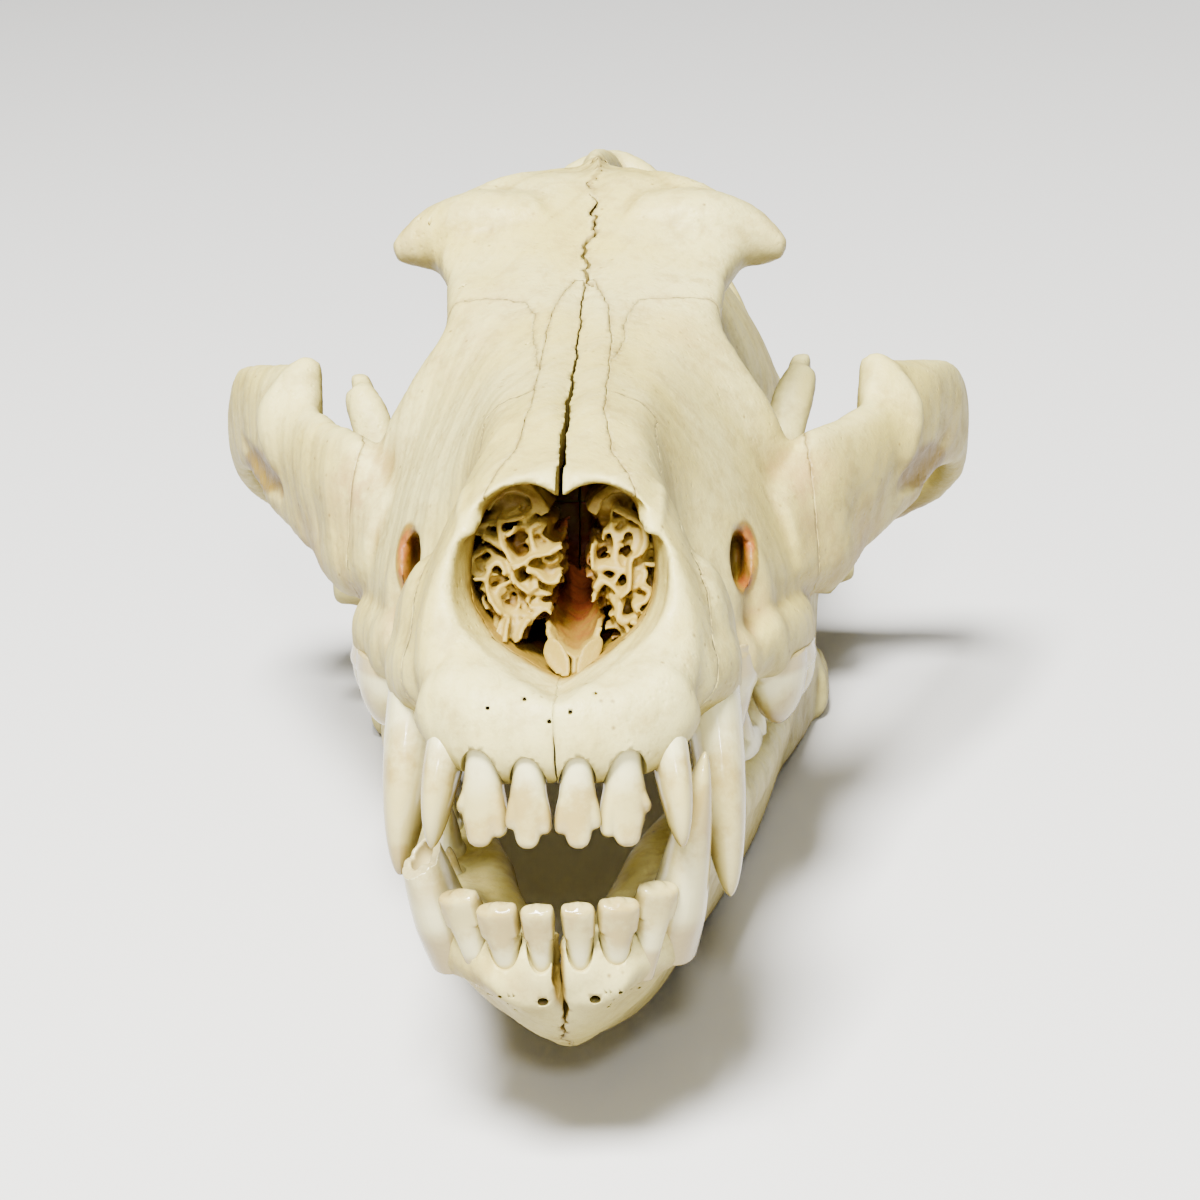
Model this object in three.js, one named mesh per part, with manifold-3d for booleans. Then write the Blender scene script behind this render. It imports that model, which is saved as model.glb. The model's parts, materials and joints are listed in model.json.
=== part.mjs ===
// A life-size wolf skull, mouth ajar, resting on its lower jaw.
// The cranium is shaped whole and parted along its main sutures into named bones. The teeth are fused to the
// bone they grow from.
//
// Lengths are in millimetres. Bones are shaped in an anatomical frame: x to the side, y from the front of the upper
// incisors back to the occiput, z up from the rim of the upper tooth sockets. Groups then lay the skull on the floor.
import * as THREE from "three";
import { mergeVertices } from "three/addons/utils/BufferGeometryUtils.js";
import Module from "manifold-3d";

const wasm = await Module();
wasm.setup();

const deg = THREE.MathUtils.degToRad;
const lerp = THREE.MathUtils.lerp;
const clamp = THREE.MathUtils.clamp;

// Driving dimensions
const SUTURE_GAP = 0.3;
const CORE_SIDES = 20;
const BAR_SIDES = 6;
const BLOB_SIDES = 8;
const TOOTH_SIDES = 8;
const ROOT_DEPTH = 5; // how far a cheek tooth or incisor is sunk into its bone
const JAW_PIVOT = new THREE.Vector3(0, 180, 6);
const JAW_OPENING = deg(4.05);
const JAW_ROLL = deg(-2.2);
const JAW_SHIFT = new THREE.Vector3(-1.5, -0.8, -0.3);
const BODY_REST = { y: 88, z: -37.3 }; // lowest point of the jaw's body
const ANGLE_REST = { y: 182, z: -20.7 }; // lowest point of the jaw's angular process
const FLAT_DEPTH = 0.6; // how much of the jaw's underside is planed off where it rests
const BROKEN_SHARE = 0.6; // how much is left of the right lower canine, whose tip has snapped off

// Cross-sections of the cranium. Widths are half widths, and "lean" tips a section back as it rises.
const CRANIUM_SECTIONS = [
  { y: 5, lean: 0.55, top: 37, browX: 9, browZ: 35, waistX: 17, waistZ: 23, cheekX: 18.5, cheekZ: 9, floor: 1 },
  { y: 14, lean: 0.46, top: 38.8, browX: 11, browZ: 36.5, waistX: 18.8, waistZ: 23, cheekX: 21, cheekZ: 9, floor: 1 },
  { y: 26, lean: 0.32, top: 41, browX: 11.6, browZ: 38, waistX: 19, waistZ: 23, cheekX: 22, cheekZ: 8, floor: 1 },
  { y: 42, lean: 0.12, top: 44, browX: 11, browZ: 41, waistX: 17.5, waistZ: 24, cheekX: 20, cheekZ: 7, floor: 2 },
  { y: 58, lean: 0, top: 46.2, browX: 11.5, browZ: 43.2, waistX: 18.5, waistZ: 24, cheekX: 21.5, cheekZ: 7, floor: 3 },
  { y: 68, lean: 0, top: 48, browX: 12, browZ: 45, waistX: 22.5, waistZ: 25, cheekX: 25, cheekZ: 8, floor: 3.5 },
  { y: 78, lean: 0, top: 50, browX: 13, browZ: 46.5, waistX: 26, waistZ: 27, cheekX: 28.5, cheekZ: 8, floor: 4 },
  { y: 94, lean: 0, top: 54.5, browX: 16, browZ: 50.5, waistX: 29.5, waistZ: 31, cheekX: 33.5, cheekZ: 9, floor: 5 },
  { y: 106, lean: 0, top: 59, browX: 20, browZ: 55, waistX: 32, waistZ: 38, cheekX: 35.5, cheekZ: 10, floor: 5 },
  { y: 114, lean: 0, top: 62.5, browX: 22, browZ: 58.5, waistX: 18, waistZ: 38, cheekX: 34, cheekZ: 7, floor: 5 },
  { y: 122, lean: 0, top: 66.5, browX: 22.6, browZ: 61, waistX: 14, waistZ: 40, cheekX: 33, cheekZ: 7, floor: 6 },
  { y: 130, lean: 0, top: 71.5, browX: 25, browZ: 65, waistX: 13.5, waistZ: 42, cheekX: 27, cheekZ: 8, floor: 8 },
  { y: 138, lean: 0, top: 76.5, browX: 27.5, browZ: 68.5, waistX: 15, waistZ: 45, cheekX: 12.5, cheekZ: 14, floor: 10 },
  { y: 147, lean: 0, top: 80.5, browX: 25, browZ: 71.5, waistX: 17.5, waistZ: 48, cheekX: 12, cheekZ: 17, floor: 12 },
  { y: 158, lean: 0, top: 81, browX: 16.5, browZ: 70, waistX: 20, waistZ: 47, cheekX: 14, cheekZ: 19, floor: 13 },
  { y: 170, lean: 0, top: 79, browX: 14.5, browZ: 69, waistX: 24.5, waistZ: 44, cheekX: 19, cheekZ: 19, floor: 13 },
  { y: 186, lean: 0, top: 77, browX: 17.5, browZ: 65.5, waistX: 31.5, waistZ: 39, cheekX: 27, cheekZ: 18, floor: 12 },
  { y: 205, lean: 0, top: 76, browX: 18.5, browZ: 64.5, waistX: 34, waistZ: 37, cheekX: 31, cheekZ: 18, floor: 11 },
  { y: 222, lean: 0, top: 74, browX: 17.5, browZ: 62, waistX: 33, waistZ: 36, cheekX: 32, cheekZ: 20, floor: 13 },
  { y: 233, lean: 0, top: 70, browX: 15, browZ: 57, waistX: 26, waistZ: 36, cheekX: 23, cheekZ: 23, floor: 17 },
  { y: 238, lean: 0, top: 64, browX: 12, browZ: 53, waistX: 19, waistZ: 38, cheekX: 16, cheekZ: 27, floor: 22 },
];
const CRANIUM_STATIONS = [
  5, 11, 18, 27, 38, 50, 61, 70, 79, 88, 96, 102, 106, 110, 115, 122, 129, 136, 143, 150, 158, 168, 180, 194, 210,
  223, 232, 238,
];

// The nasal passage: a half width and a height range, leaning back like the sections.
const NASAL_PASSAGE = [
  { y: -14, lean: 0.55, x: 14.4, low: 9.6, high: 35.2 },
  { y: 5, lean: 0.55, x: 14.6, low: 9.4, high: 34.8 },
  { y: 20, lean: 0.4, x: 14.8, low: 9, high: 36.6 },
  { y: 48, lean: 0, x: 13.4, low: 8.5, high: 40.4 },
  { y: 76, lean: 0, x: 12.6, low: 13, high: 44.5 },
  { y: 90, lean: 0, x: 9, low: 19, high: 44 },
];

// Cross-sections of half the lower jaw, from its front to the angular process: heights of the upper and lower edge,
// the middle of each, and half the thickness.
const JAW_SECTIONS = [
  { y: 6.5, top: -18.5, bottom: -23, topX: 6, bottomX: 4, thick: 5 },
  { y: 12, top: -15.5, bottom: -28.5, topX: 9, bottomX: 0.5, thick: 7 },
  { y: 19, top: -13.5, bottom: -32.2, topX: 12.5, bottomX: 0, thick: 7.6 },
  { y: 27, top: -13, bottom: -34.4, topX: 14, bottomX: 0.6, thick: 7.8 },
  { y: 38, top: -12.5, bottom: -36.6, topX: 15, bottomX: 4, thick: 7.2 },
  { y: 50, top: -11.5, bottom: -37.5, topX: 17, bottomX: 8, thick: 6 },
  { y: 66, top: -10.5, bottom: -37.6, topX: 20, bottomX: 11, thick: 6 },
  { y: 84, top: -10, bottom: -37.6, topX: 23, bottomX: 14.5, thick: 6.2 },
  { y: 100, top: -9, bottom: -36.8, topX: 26, bottomX: 18, thick: 6.2 },
  { y: 118, top: -8, bottom: -34.5, topX: 30, bottomX: 22.5, thick: 5.4 },
  { y: 134, top: -6, bottom: -31, topX: 33.5, bottomX: 26, thick: 4.4 },
  { y: 148, top: -6, bottom: -27.5, topX: 35.5, bottomX: 30.5, thick: 3.2 },
  { y: 164, top: -8, bottom: -23.5, topX: 38, bottomX: 36.5, thick: 2.4 },
  { y: 180, top: -9, bottom: -21.5, topX: 39.6, bottomX: 39.6, thick: 2.4 },
];
const JAW_STATIONS = [6.5, 9, 12, 16, 21, 28, 38, 52, 68, 84, 100, 114, 126, 138, 150, 164, 180];
const JAW_EDGE_SHARE = 0.7; // the jaw body is this much thinner along its lower edge

// Basic shapes

// A size at y from a table of sections, smoothly interpolated.
function sizeAt(table, key, y) {
  const last = table.length - 1;
  const above = table.findIndex((section) => section.y > y);
  const i = clamp((above < 0 ? last : above) - 1, 0, last - 1);
  const span = table[i + 1].y - table[i].y;
  const t = (y - table[i].y) / span;
  const rise = (k) => {
    const a = table[Math.max(0, k - 1)];
    const b = table[Math.min(last, k + 1)];
    return ((b[key] - a[key]) / (b.y - a.y)) * span;
  };
  const start = table[i][key];
  const end = table[i + 1][key];
  const fade = 3 * t ** 2 - 2 * t ** 3;
  return lerp(start, end, fade) + (t ** 3 - 2 * t ** 2 + t) * rise(i) + (t ** 3 - t ** 2) * rise(i + 1);
}

// A closed surface through rings of equally many points, capped by a fan at each end.
function loft(rings) {
  const sides = rings[0].length;
  const centre = (ring) => ring.reduce((sum, p) => sum.add(p), new THREE.Vector3()).divideScalar(sides);
  const points = [...rings.flat(), centre(rings[0]), centre(rings.at(-1))];
  const end = (rings.length - 1) * sides;
  const fan = rings.length * sides;
  const faces = [];
  for (let s = 0; s < sides; s += 1) {
    const next = (s + 1) % sides;
    for (let near = 0; near < end; near += sides) {
      const far = near + sides;
      faces.push(near + s, near + next, far + next, near + s, far + next, far + s);
    }
    faces.push(fan, next, s, fan + 1, end + s, end + next);
  }
  return new THREE.BufferGeometry().setFromPoints(points).setIndex(faces);
}

// A bar with an oval section along a smooth path of { at, across, up }, its section kept upright.
function bar(path, { sides = BAR_SIDES, steps = path.length * 2, square = 0.85 } = {}) {
  const curve = new THREE.CatmullRomCurve3(path.map((p) => new THREE.Vector3(...p.at)), false, "centripetal");
  const rings = [];
  for (let i = 0; i <= steps; i += 1) {
    const along = (i / steps) * (path.length - 1);
    const k = Math.min(path.length - 2, Math.floor(along));
    const tangent = curve.getTangent(i / steps);
    const steep = Math.abs(tangent.z) > 0.8;
    const upright = steep ? new THREE.Vector3(0, 1, 0) : new THREE.Vector3(0, 0, 1);
    const side = new THREE.Vector3().crossVectors(tangent, upright).normalize();
    const up = new THREE.Vector3().crossVectors(side, tangent);
    const across = lerp(path[k].across, path[k + 1].across, along - k);
    const height = lerp(path[k].up, path[k + 1].up, along - k);
    rings.push(
      Array.from({ length: sides }, (_, s) => {
        const [u, v] = squaredCircle((s / sides) * 2 * Math.PI, square);
        return curve.getPoint(i / steps).addScaledVector(side, u * across).addScaledVector(up, v * height);
      }),
    );
  }
  return loft(rings);
}

// A point on a circle whose corners are filled out as "square" drops below one.
function squaredCircle(angle, square) {
  return [Math.cos(angle), Math.sin(angle)].map((v) => Math.sign(v) * Math.abs(v) ** square);
}

function blob(at, radii, turn = [0, 0, 0], sides = BLOB_SIDES) {
  const pose = new THREE.Matrix4().compose(
    new THREE.Vector3(...at),
    new THREE.Quaternion().setFromEuler(new THREE.Euler(...turn)),
    new THREE.Vector3(...radii),
  );
  return new THREE.SphereGeometry(1, sides, Math.ceil(sides * 0.6)).applyMatrix4(pose);
}

// Prisms from an outline: of [x, y] points raised in z, or of [y, z] points carried across in x.
const OUTLINE_AXES = {
  plan: new THREE.Matrix4(),
  side: new THREE.Matrix4().set(0, 0, 1, 0, 1, 0, 0, 0, 0, 1, 0, 0, 0, 0, 0, 1),
};

function prism(axes, outline, low, high, bevel = {}) {
  const shape = new THREE.Shape(outline.map(([a, b]) => new THREE.Vector2(a, b)));
  const made = new THREE.ExtrudeGeometry(shape, { depth: high - low, bevelEnabled: false, ...bevel });
  return made.translate(0, 0, low).applyMatrix4(OUTLINE_AXES[axes]);
}

// An outline grown by a margin all round.
function outset(outline, margin) {
  const points = outline.map(([a, b]) => new THREE.Vector2(a, b));
  const outwards = THREE.ShapeUtils.isClockWise(points) ? -margin : margin;
  return points.map((point, i) => {
    const into = point.clone().sub(points.at(i - 1)).normalize();
    const from = points[(i + 1) % points.length].clone().sub(point).normalize();
    const reach = outwards / (1 + into.dot(from));
    return [point.x + (into.y + from.y) * reach, point.y - (into.x + from.x) * reach];
  });
}

function mirrored(geometry) {
  return geometry.clone().scale(-1, 1, 1);
}

function bothSides(geometries) {
  return [...geometries, ...geometries.map(mirrored)];
}

// Solids

function solid(geometry) {
  const plain = geometry.clone();
  plain.deleteAttribute("normal");
  plain.deleteAttribute("uv");
  const merged = mergeVertices(plain, 1e-4);
  const made = new wasm.Manifold(
    new wasm.Mesh({
      numProp: 3,
      vertProperties: merged.attributes.position.array,
      triVerts: new Uint32Array(merged.index.array),
    }),
  );
  return made.volume() < 0 ? solid(turnedOutwards(merged)) : made;
}

function turnedOutwards(geometry) {
  const index = Array.from(geometry.index.array);
  for (let i = 0; i < index.length; i += 3) {
    [index[i], index[i + 1]] = [index[i + 1], index[i]];
  }
  return geometry.clone().setIndex(index);
}

function joined(geometries) {
  return geometries.map(solid).reduce((all, next) => all.add(next));
}

function largest(made) {
  return made.decompose().sort((a, b) => b.volume() - a.volume())[0];
}

function geometryOf(made) {
  const mesh = made.getMesh();
  const geometry = new THREE.BufferGeometry();
  geometry.setAttribute("position", new THREE.BufferAttribute(new Float32Array(mesh.vertProperties), 3));
  return geometry.setIndex(new THREE.BufferAttribute(new Uint32Array(mesh.triVerts), 1));
}

// Teeth

// A flat-sided tooth from an outline of [along, height] points, thinning from "thick" at its neck to a share "edge"
// of that at its tip. Jaw is -1 for a tooth that points down and 1 for one that points up.
function bladeTooth({ at, outline, thick, edge = 0.25, turn = 0, tilt = 0, splay = 0, jaw = -1 }) {
  const made = prism("plan", outline.map(([a, h]) => [a, h * jaw]), -0.5, 0.5);
  const tip = Math.max(...outline.map(([, h]) => h));
  const p = made.attributes.position;
  for (let i = 0; i < p.count; i += 1) {
    const share = Math.max(0, (p.getY(i) * jaw) / tip);
    p.setXYZ(i, p.getX(i), p.getZ(i) * thick * lerp(1, edge, share), p.getY(i));
  }
  const pose = new THREE.Matrix4().makeRotationFromEuler(new THREE.Euler(tilt, splay, turn, "ZYX"));
  return made.applyMatrix4(pose.setPosition(...at));
}

// A pointed tooth with an oval section, from its socket to its tip, its middle pushed forward by "bow".
function coneTooth({ at, tip, bow, length, width, root }) {
  const from = new THREE.Vector3(...at);
  const axis = new THREE.Vector3(...tip).sub(from);
  const shares = [-root / axis.length(), 0, 0.3, 0.58, 0.8, 0.93, 1];
  return loft(
    shares.map((share) => {
      const out = Math.max(0, share);
      const size = share < 0 ? 0.8 : Math.max(0.07, (1 - out ** 2.2) ** 0.62 * (1 - 0.18 * out));
      const middle = from.clone().addScaledVector(axis, share);
      middle.y -= bow * 4 * share * (1 - share);
      return Array.from({ length: TOOTH_SIDES }, (_, k) => {
        const angle = (k / TOOTH_SIDES) * 2 * Math.PI;
        const offset = new THREE.Vector3((Math.cos(angle) * width) / 2, (Math.sin(angle) * length) / 2, 0);
        return middle.clone().addScaledVector(offset, size);
      });
    }),
  );
}

// Outlines of a tooth of a given width or length and height, with its root below zero.
function incisor(w, h) {
  const half = [[0.3, -ROOT_DEPTH / h], [0.34, 0], [0.43, 0.4], [0.52, 0.68], [0.46, 0.84], [0.27, 0.86], [0.2, 0.98]];
  const right = half.map(([a, b]) => [a * w, b * h]);
  return [...right, ...right.toReversed().map(([a, b]) => [-a, b])];
}

function premolar(l, h) {
  const shape = [
    [-0.4, -ROOT_DEPTH / h], [0.4, -ROOT_DEPTH / h], [0.5, 0.1], [0.46, 0.36], [0.22, 0.46], [0.02, 0.97],
    [-0.06, 1], [-0.32, 0.42], [-0.5, 0.12],
  ];
  return shape.map(([a, b]) => [a * l, b * h]);
}

function carnassial(l, h) {
  const shape = [
    [-0.44, -ROOT_DEPTH / h], [0.44, -ROOT_DEPTH / h], [0.5, 0.15], [0.42, 0.56], [0.18, 0.62], [0.12, 0.5],
    [-0.06, 0.96], [-0.14, 1], [-0.38, 0.4], [-0.5, 0.1],
  ];
  return shape.map(([a, b]) => [a * l, b * h]);
}

function molar(l, h) {
  const shape = [
    [-0.42, -ROOT_DEPTH / h], [0.42, -ROOT_DEPTH / h], [0.5, 0.2], [0.36, 0.95], [0.1, 0.6], [-0.1, 0.62],
    [-0.3, 1], [-0.5, 0.25],
  ];
  return shape.map(([a, b]) => [a * l, b * h]);
}

const UPPER_INCISORS = [
  { at: [3.5, 3.4, 0.6], outline: incisor(6.2, 12.8), thick: 6.5, edge: 0.4, turn: deg(4), tilt: deg(-6) },
  { at: [9.7, 5.2, 1.4], outline: incisor(7, 13.8), thick: 7, edge: 0.4, turn: deg(16), tilt: deg(-5) },
];
const UPPER_CORNER = { at: [15.2, 10.5, 3.5], tip: [16.6, 4.2, -13.2], bow: 1.2, length: 9, width: 7, root: 5 };
const UPPER_CANINE = { at: [20.6, 29, 3], tip: [22.6, 21.4, -23.4], bow: 1.8, length: 14.5, width: 9, root: 7 };
const WORN_TIP = [22.4, 22, -20.4]; // the right upper canine is worn shorter
const UPPER_CHEEK = [
  { at: [19, 40, 1], outline: premolar(7.5, 6), thick: 5, turn: deg(88) },
  { at: [20, 52, 1], outline: premolar(13.5, 8.5), thick: 5.6, turn: deg(84) },
  { at: [23.6, 68.5, 1], outline: premolar(15.5, 9.5), thick: 6.2, turn: deg(74) },
  { at: [31, 89, 1.5], outline: carnassial(25, 15.5), thick: 9, turn: deg(69), splay: deg(-5) },
  { at: [29, 107, 3], outline: molar(12.5, 8), thick: 17.5, edge: 0.55, turn: deg(97) },
  { at: [28, 119, 4], outline: molar(7.5, 6), thick: 12, edge: 0.55, turn: deg(100) },
];
const LOWER_INCISORS = [
  { at: [2.5, 8.6, -18.4], outline: incisor(4.6, 9), thick: 5.5, edge: 0.4, turn: deg(3), tilt: deg(22) },
  { at: [7.1, 9.6, -17.9], outline: incisor(5.8, 9.2), thick: 6, edge: 0.4, turn: deg(12), tilt: deg(22) },
  { at: [11.8, 12.2, -17], outline: incisor(6.6, 9.6), thick: 6.5, edge: 0.4, turn: deg(24), tilt: deg(20) },
];
const LOWER_CANINE = { at: [16.4, 17.8, -13], tip: [20.2, 12.6, 10.5], bow: 1.6, length: 12, width: 8.4, root: 6 };
const LOWER_CHEEK = [
  { at: [16.8, 37, -12.5], outline: premolar(5.5, 5), thick: 4.2, turn: deg(86) },
  { at: [17.6, 48, -11.5], outline: premolar(11.5, 8), thick: 5, turn: deg(84) },
  { at: [19.4, 62, -11], outline: premolar(13.5, 9), thick: 5.6, turn: deg(80) },
  { at: [22, 77.5, -10.5], outline: premolar(15.5, 10), thick: 6.2, turn: deg(78) },
  { at: [25, 98, -9.5], outline: carnassial(27, 13.5), thick: 8.2, turn: deg(78), splay: deg(-4) },
  { at: [29.4, 117.5, -8], outline: molar(11.5, 6), thick: 7.4, edge: 0.6, turn: deg(79) },
  { at: [32, 127, -6.5], outline: molar(5.5, 4), thick: 5, edge: 0.6, turn: deg(80) },
];

// The cranium

function craniumRing(y) {
  const size = (key) => sizeAt(CRANIUM_SECTIONS, key, y);
  const half = [
    [0, size("top")],
    [size("browX") * 0.55, lerp(size("top"), size("browZ"), 0.3)],
    [size("browX"), size("browZ")],
    [size("waistX"), size("waistZ")],
    [size("cheekX"), size("cheekZ")],
    [size("cheekX") * 0.72, size("floor")],
    [0, size("floor") + 0.5],
  ];
  const other = half.slice(1, -1).toReversed().map(([x, z]) => [-x, z]);
  const points = [...half, ...other].map(([x, z]) => new THREE.Vector3(x, y + size("lean") * z, z));
  const curve = new THREE.CatmullRomCurve3(points, true, "centripetal");
  return Array.from({ length: CORE_SIDES }, (_, i) => curve.getPoint(i / CORE_SIDES));
}

function passage(margin = 0) {
  const rings = NASAL_PASSAGE.map(({ y, lean, x, low, high }) => {
    const middle = (low + high) / 2;
    const half = (high - low) / 2 - margin;
    return Array.from({ length: 18 }, (_, i) => {
      const angle = (i / 18) * 2 * Math.PI;
      const narrow = 1 - 0.14 * Math.abs(Math.sin(angle)) ** 3;
      const z = middle + Math.sin(angle) * half;
      return new THREE.Vector3(Math.cos(angle) * (x - margin) * narrow, y + lean * z, z);
    });
  });
  return loft(rings);
}

function incisorRidge() {
  const half = [
    { at: [9.4, 8.6, 4.6], across: 6.4, up: 5.4 },
    { at: [14.8, 13.2, 6.6], across: 6.6, up: 7 },
  ];
  const other = half.toReversed().map((p) => ({ ...p, at: [-p.at[0], p.at[1], p.at[2]] }));
  return bar([...other, { at: [0, 6.8, 4], across: 6.2, up: 5 }, ...half], { steps: 12, square: 0.6 });
}

function socketRidge() {
  return bar([
    { at: [16.5, 18, 5], across: 5, up: 5.5 },
    { at: [19.2, 29, 6], across: 5.6, up: 7 },
    { at: [18, 43, 4.5], across: 4, up: 4.5 },
    { at: [20.6, 59, 4.5], across: 4.2, up: 4.5 },
    { at: [25.5, 76, 5], across: 4.8, up: 5 },
    { at: [30.8, 93, 5.5], across: 6, up: 5.5 },
    { at: [31, 107, 6], across: 7, up: 5.5 },
    { at: [29, 121, 7], across: 5.6, up: 5 },
    { at: [27, 129, 8.5], across: 3, up: 3 },
  ], { steps: 16 });
}

function postorbitalProcess() {
  return bar([
    { at: [12, 143, 71], across: 11, up: 5 },
    { at: [23, 141, 70.6], across: 9, up: 4.8 },
    { at: [29.8, 139.6, 68.8], across: 5.2, up: 3.2 },
    { at: [33, 138.6, 66.8], across: 1.6, up: 1.3 },
  ], { steps: 6 });
}

function zygomaticArch() {
  return bar([
    { at: [29, 97, 20], across: 6, up: 9 },
    { at: [36.8, 106, 23], across: 5.6, up: 13 },
    { at: [44, 118, 26], across: 4.8, up: 12 },
    { at: [51.5, 132, 31.5], across: 4, up: 10.6 },
    { at: [58.5, 148, 36.5], across: 3.6, up: 10 },
    { at: [63.2, 163, 35.5], across: 3.5, up: 8.8 },
    { at: [63, 175, 29.5], across: 3.8, up: 7 },
    { at: [57.5, 184.5, 22.5], across: 5.4, up: 5.6 },
    { at: [46, 186, 18.5], across: 8.6, up: 6 },
    { at: [28, 188, 20], across: 9.5, up: 7 },
  ], { sides: 12, steps: 20, square: 0.8 });
}

function jugalHorn() {
  return bar([
    { at: [50.5, 130.5, 34], across: 7.5, up: 3.4 },
    { at: [49.4, 133, 42], across: 4.8, up: 2.8 },
    { at: [47.8, 135.4, 48], across: 2, up: 1.7 },
  ], { steps: 4 });
}

function postglenoidProcess() {
  return bar([
    { at: [43, 190.5, 15], across: 8, up: 3.2 },
    { at: [41.5, 190.6, 7], across: 6, up: 2.4 },
    { at: [40.5, 189.8, 1], across: 2.6, up: 1.4 },
  ], { steps: 4 });
}

function sagittalCrest() {
  const outline = [
    [150, 74], [157, 80], [166, 82.6], [178, 83.4], [205, 83.6], [232, 84], [244, 83.4], [248.5, 80.5], [247, 74],
    [240, 64], [225, 60], [180, 64],
  ];
  const made = prism("side", outline, -1, 1);
  const p = made.attributes.position;
  for (let i = 0; i < p.count; i += 1) {
    p.setX(i, p.getX(i) * lerp(1.4, 4, clamp((84 - p.getZ(i)) / 14, 0, 1)));
  }
  return made;
}

function nuchalCrest() {
  const half = [
    { at: [8, 244, 77.5], across: 4, up: 3 },
    { at: [16, 239.5, 66], across: 4.4, up: 3 },
    { at: [23.2, 233.5, 53], across: 4.8, up: 3 },
    { at: [30, 227, 38], across: 5, up: 3.6 },
    { at: [34, 221, 23], across: 5, up: 5 },
  ];
  const other = half.toReversed().map((p) => ({ ...p, at: [-p.at[0], p.at[1], p.at[2]] }));
  return bar([...other, { at: [0, 246, 81], across: 3.6, up: 2.8 }, ...half], { steps: 20, sides: 8 });
}

function occiput() {
  const outline = [[0, 81.5], [9, 76], [16.5, 65.5], [24, 52.5], [30.5, 38], [32.5, 28], [25, 18], [0, 15]];
  const ring = (y, share) => {
    const half = outline.map(([x, z]) => [x * share, 46 + (z - 46) * share]);
    const other = half.slice(1, -1).toReversed().map(([x, z]) => [-x, z]);
    return [...half, ...other].map(([x, z]) => new THREE.Vector3(x, y + (z - 40) * 0.15, z));
  };
  return loft([ring(208, 0.9), ring(232, 1), ring(238, 0.9)]);
}

function paroccipitalProcess() {
  return bar([
    { at: [28, 224, 20], across: 7, up: 5 },
    { at: [28.5, 227, 7], across: 4.4, up: 3.2 },
    { at: [28.5, 227.5, -3], across: 1.8, up: 1.6 },
  ], { steps: 5 });
}

function pterygoidPlate() {
  const outline = [
    [128, 20], [128, 5], [136, 3.5], [150, 5.5], [160, 5], [167, 1], [169.5, 3], [167, 11], [165, 20],
  ];
  return prism("side", outline, 9.2, 12.4);
}

const condyleOfSkull = () => blob([13.2, 238.5, 24], [7.4, 7, 9.5], [deg(-20), deg(-32), deg(-20)]);
const mastoid = () => blob([33.5, 221, 22], [5.5, 8.5, 11], [0, deg(-12), 0]);
const bulla = () => blob([21.5, 206, 6.5], [10.5, 14, 10.5], [0, 0, deg(14)]);
const canineSwell = () => blob([19, 31, 12], [4.6, 8.5, 13], [deg(-24), 0, 0]);
const infraorbitalHole = () => blob([25.6, 68, 20.4], [2.7, 14, 6], [deg(-6), 0, deg(4)]);
const choana = () => blob([0, 152, 6], [8.6, 26, 13]);
const foramenMagnum = () => blob([0, 242, 34.5], [10.5, 22, 9], [deg(8), 0, 0]);
const palateVault = () => blob([0, 76, -4.5], [20, 60, 9]);

// The vomer, a trough on the floor of the nasal passage.
function vomer(margin = 0) {
  const sections = [
    { y: 24 - margin, low: 9.3, reach: 1.6, rise: 4 + margin },
    { y: 48, low: 8.9, reach: 3.4, rise: 8 + margin },
    { y: 74 + margin, low: 13.1, reach: 3.6, rise: 9 + margin },
  ];
  const wall = 0.8 + margin;
  return loft(
    sections.map(({ y, low, reach, rise }) => {
      const half = [[wall, low], [reach + wall, low + rise], [reach, low + rise]];
      const other = half.toReversed().map(([x, z]) => [-x, z]);
      return [...half, [0, low + 2 * wall], ...other].map(([x, z]) => new THREE.Vector3(x, y, z));
    }),
  );
}

// One side's turbinate: leaves that branch from a stem, carried back through the nasal passage.
function turbinate() {
  const stem = [[12.6, 30.5], [9, 26], [7.6, 21], [8.4, 16.5], [6.6, 13]];
  const leaf = (from, to, start, end, thick) => {
    const across = new THREE.Vector2(from[1] - to[1], to[0] - from[0]).normalize().multiplyScalar(thick / 2);
    const corners = [[from, 1], [to, 1], [to, -1], [from, -1]];
    const outline = corners.map(([p, s]) => [p[0] + across.x * s, p[1] + across.y * s]);
    return prism("plan", outline, start, end).applyMatrix4(new THREE.Matrix4().makeRotationX(Math.PI / 2)
      .premultiply(new THREE.Matrix4().makeScale(1, -1, 1)));
  };
  const step = (from, angle, length) => [from[0] + Math.cos(angle) * length, from[1] + Math.sin(angle) * length];
  const leaves = [];
  stem.slice(1).forEach((joint, i) => {
    const heading = Math.atan2(joint[1] - stem[i][1], joint[0] - stem[i][0]);
    leaves.push(leaf(stem[i], joint, 27, 62, 1.2));
    for (const turn of [1.2, -1.25]) {
      const tip = step(joint, heading + turn, 3.6);
      leaves.push(leaf(joint, tip, 29, 60, 0.9));
      for (const fork of [0.8, -0.8]) leaves.push(leaf(tip, step(tip, heading + turn + fork, 1.9), 30, 58, 0.8));
    }
  });
  return leaves;
}

// The lower jaw, in the same frame with the mouth shut

function jawBody() {
  const sides = 12;
  return loft(
    JAW_STATIONS.map((y) => {
      const size = (key) => sizeAt(JAW_SECTIONS, key, y);
      return Array.from({ length: sides }, (_, i) => {
        const [down, out] = squaredCircle((i / sides) * 2 * Math.PI, 0.8);
        const share = (1 - down) / 2;
        const half = size("thick") * lerp(1, JAW_EDGE_SHARE, share);
        const x = lerp(size("topX"), size("bottomX"), share) + out * half;
        return new THREE.Vector3(x, y, lerp(size("top"), size("bottom"), share));
      });
    }),
  );
}

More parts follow.
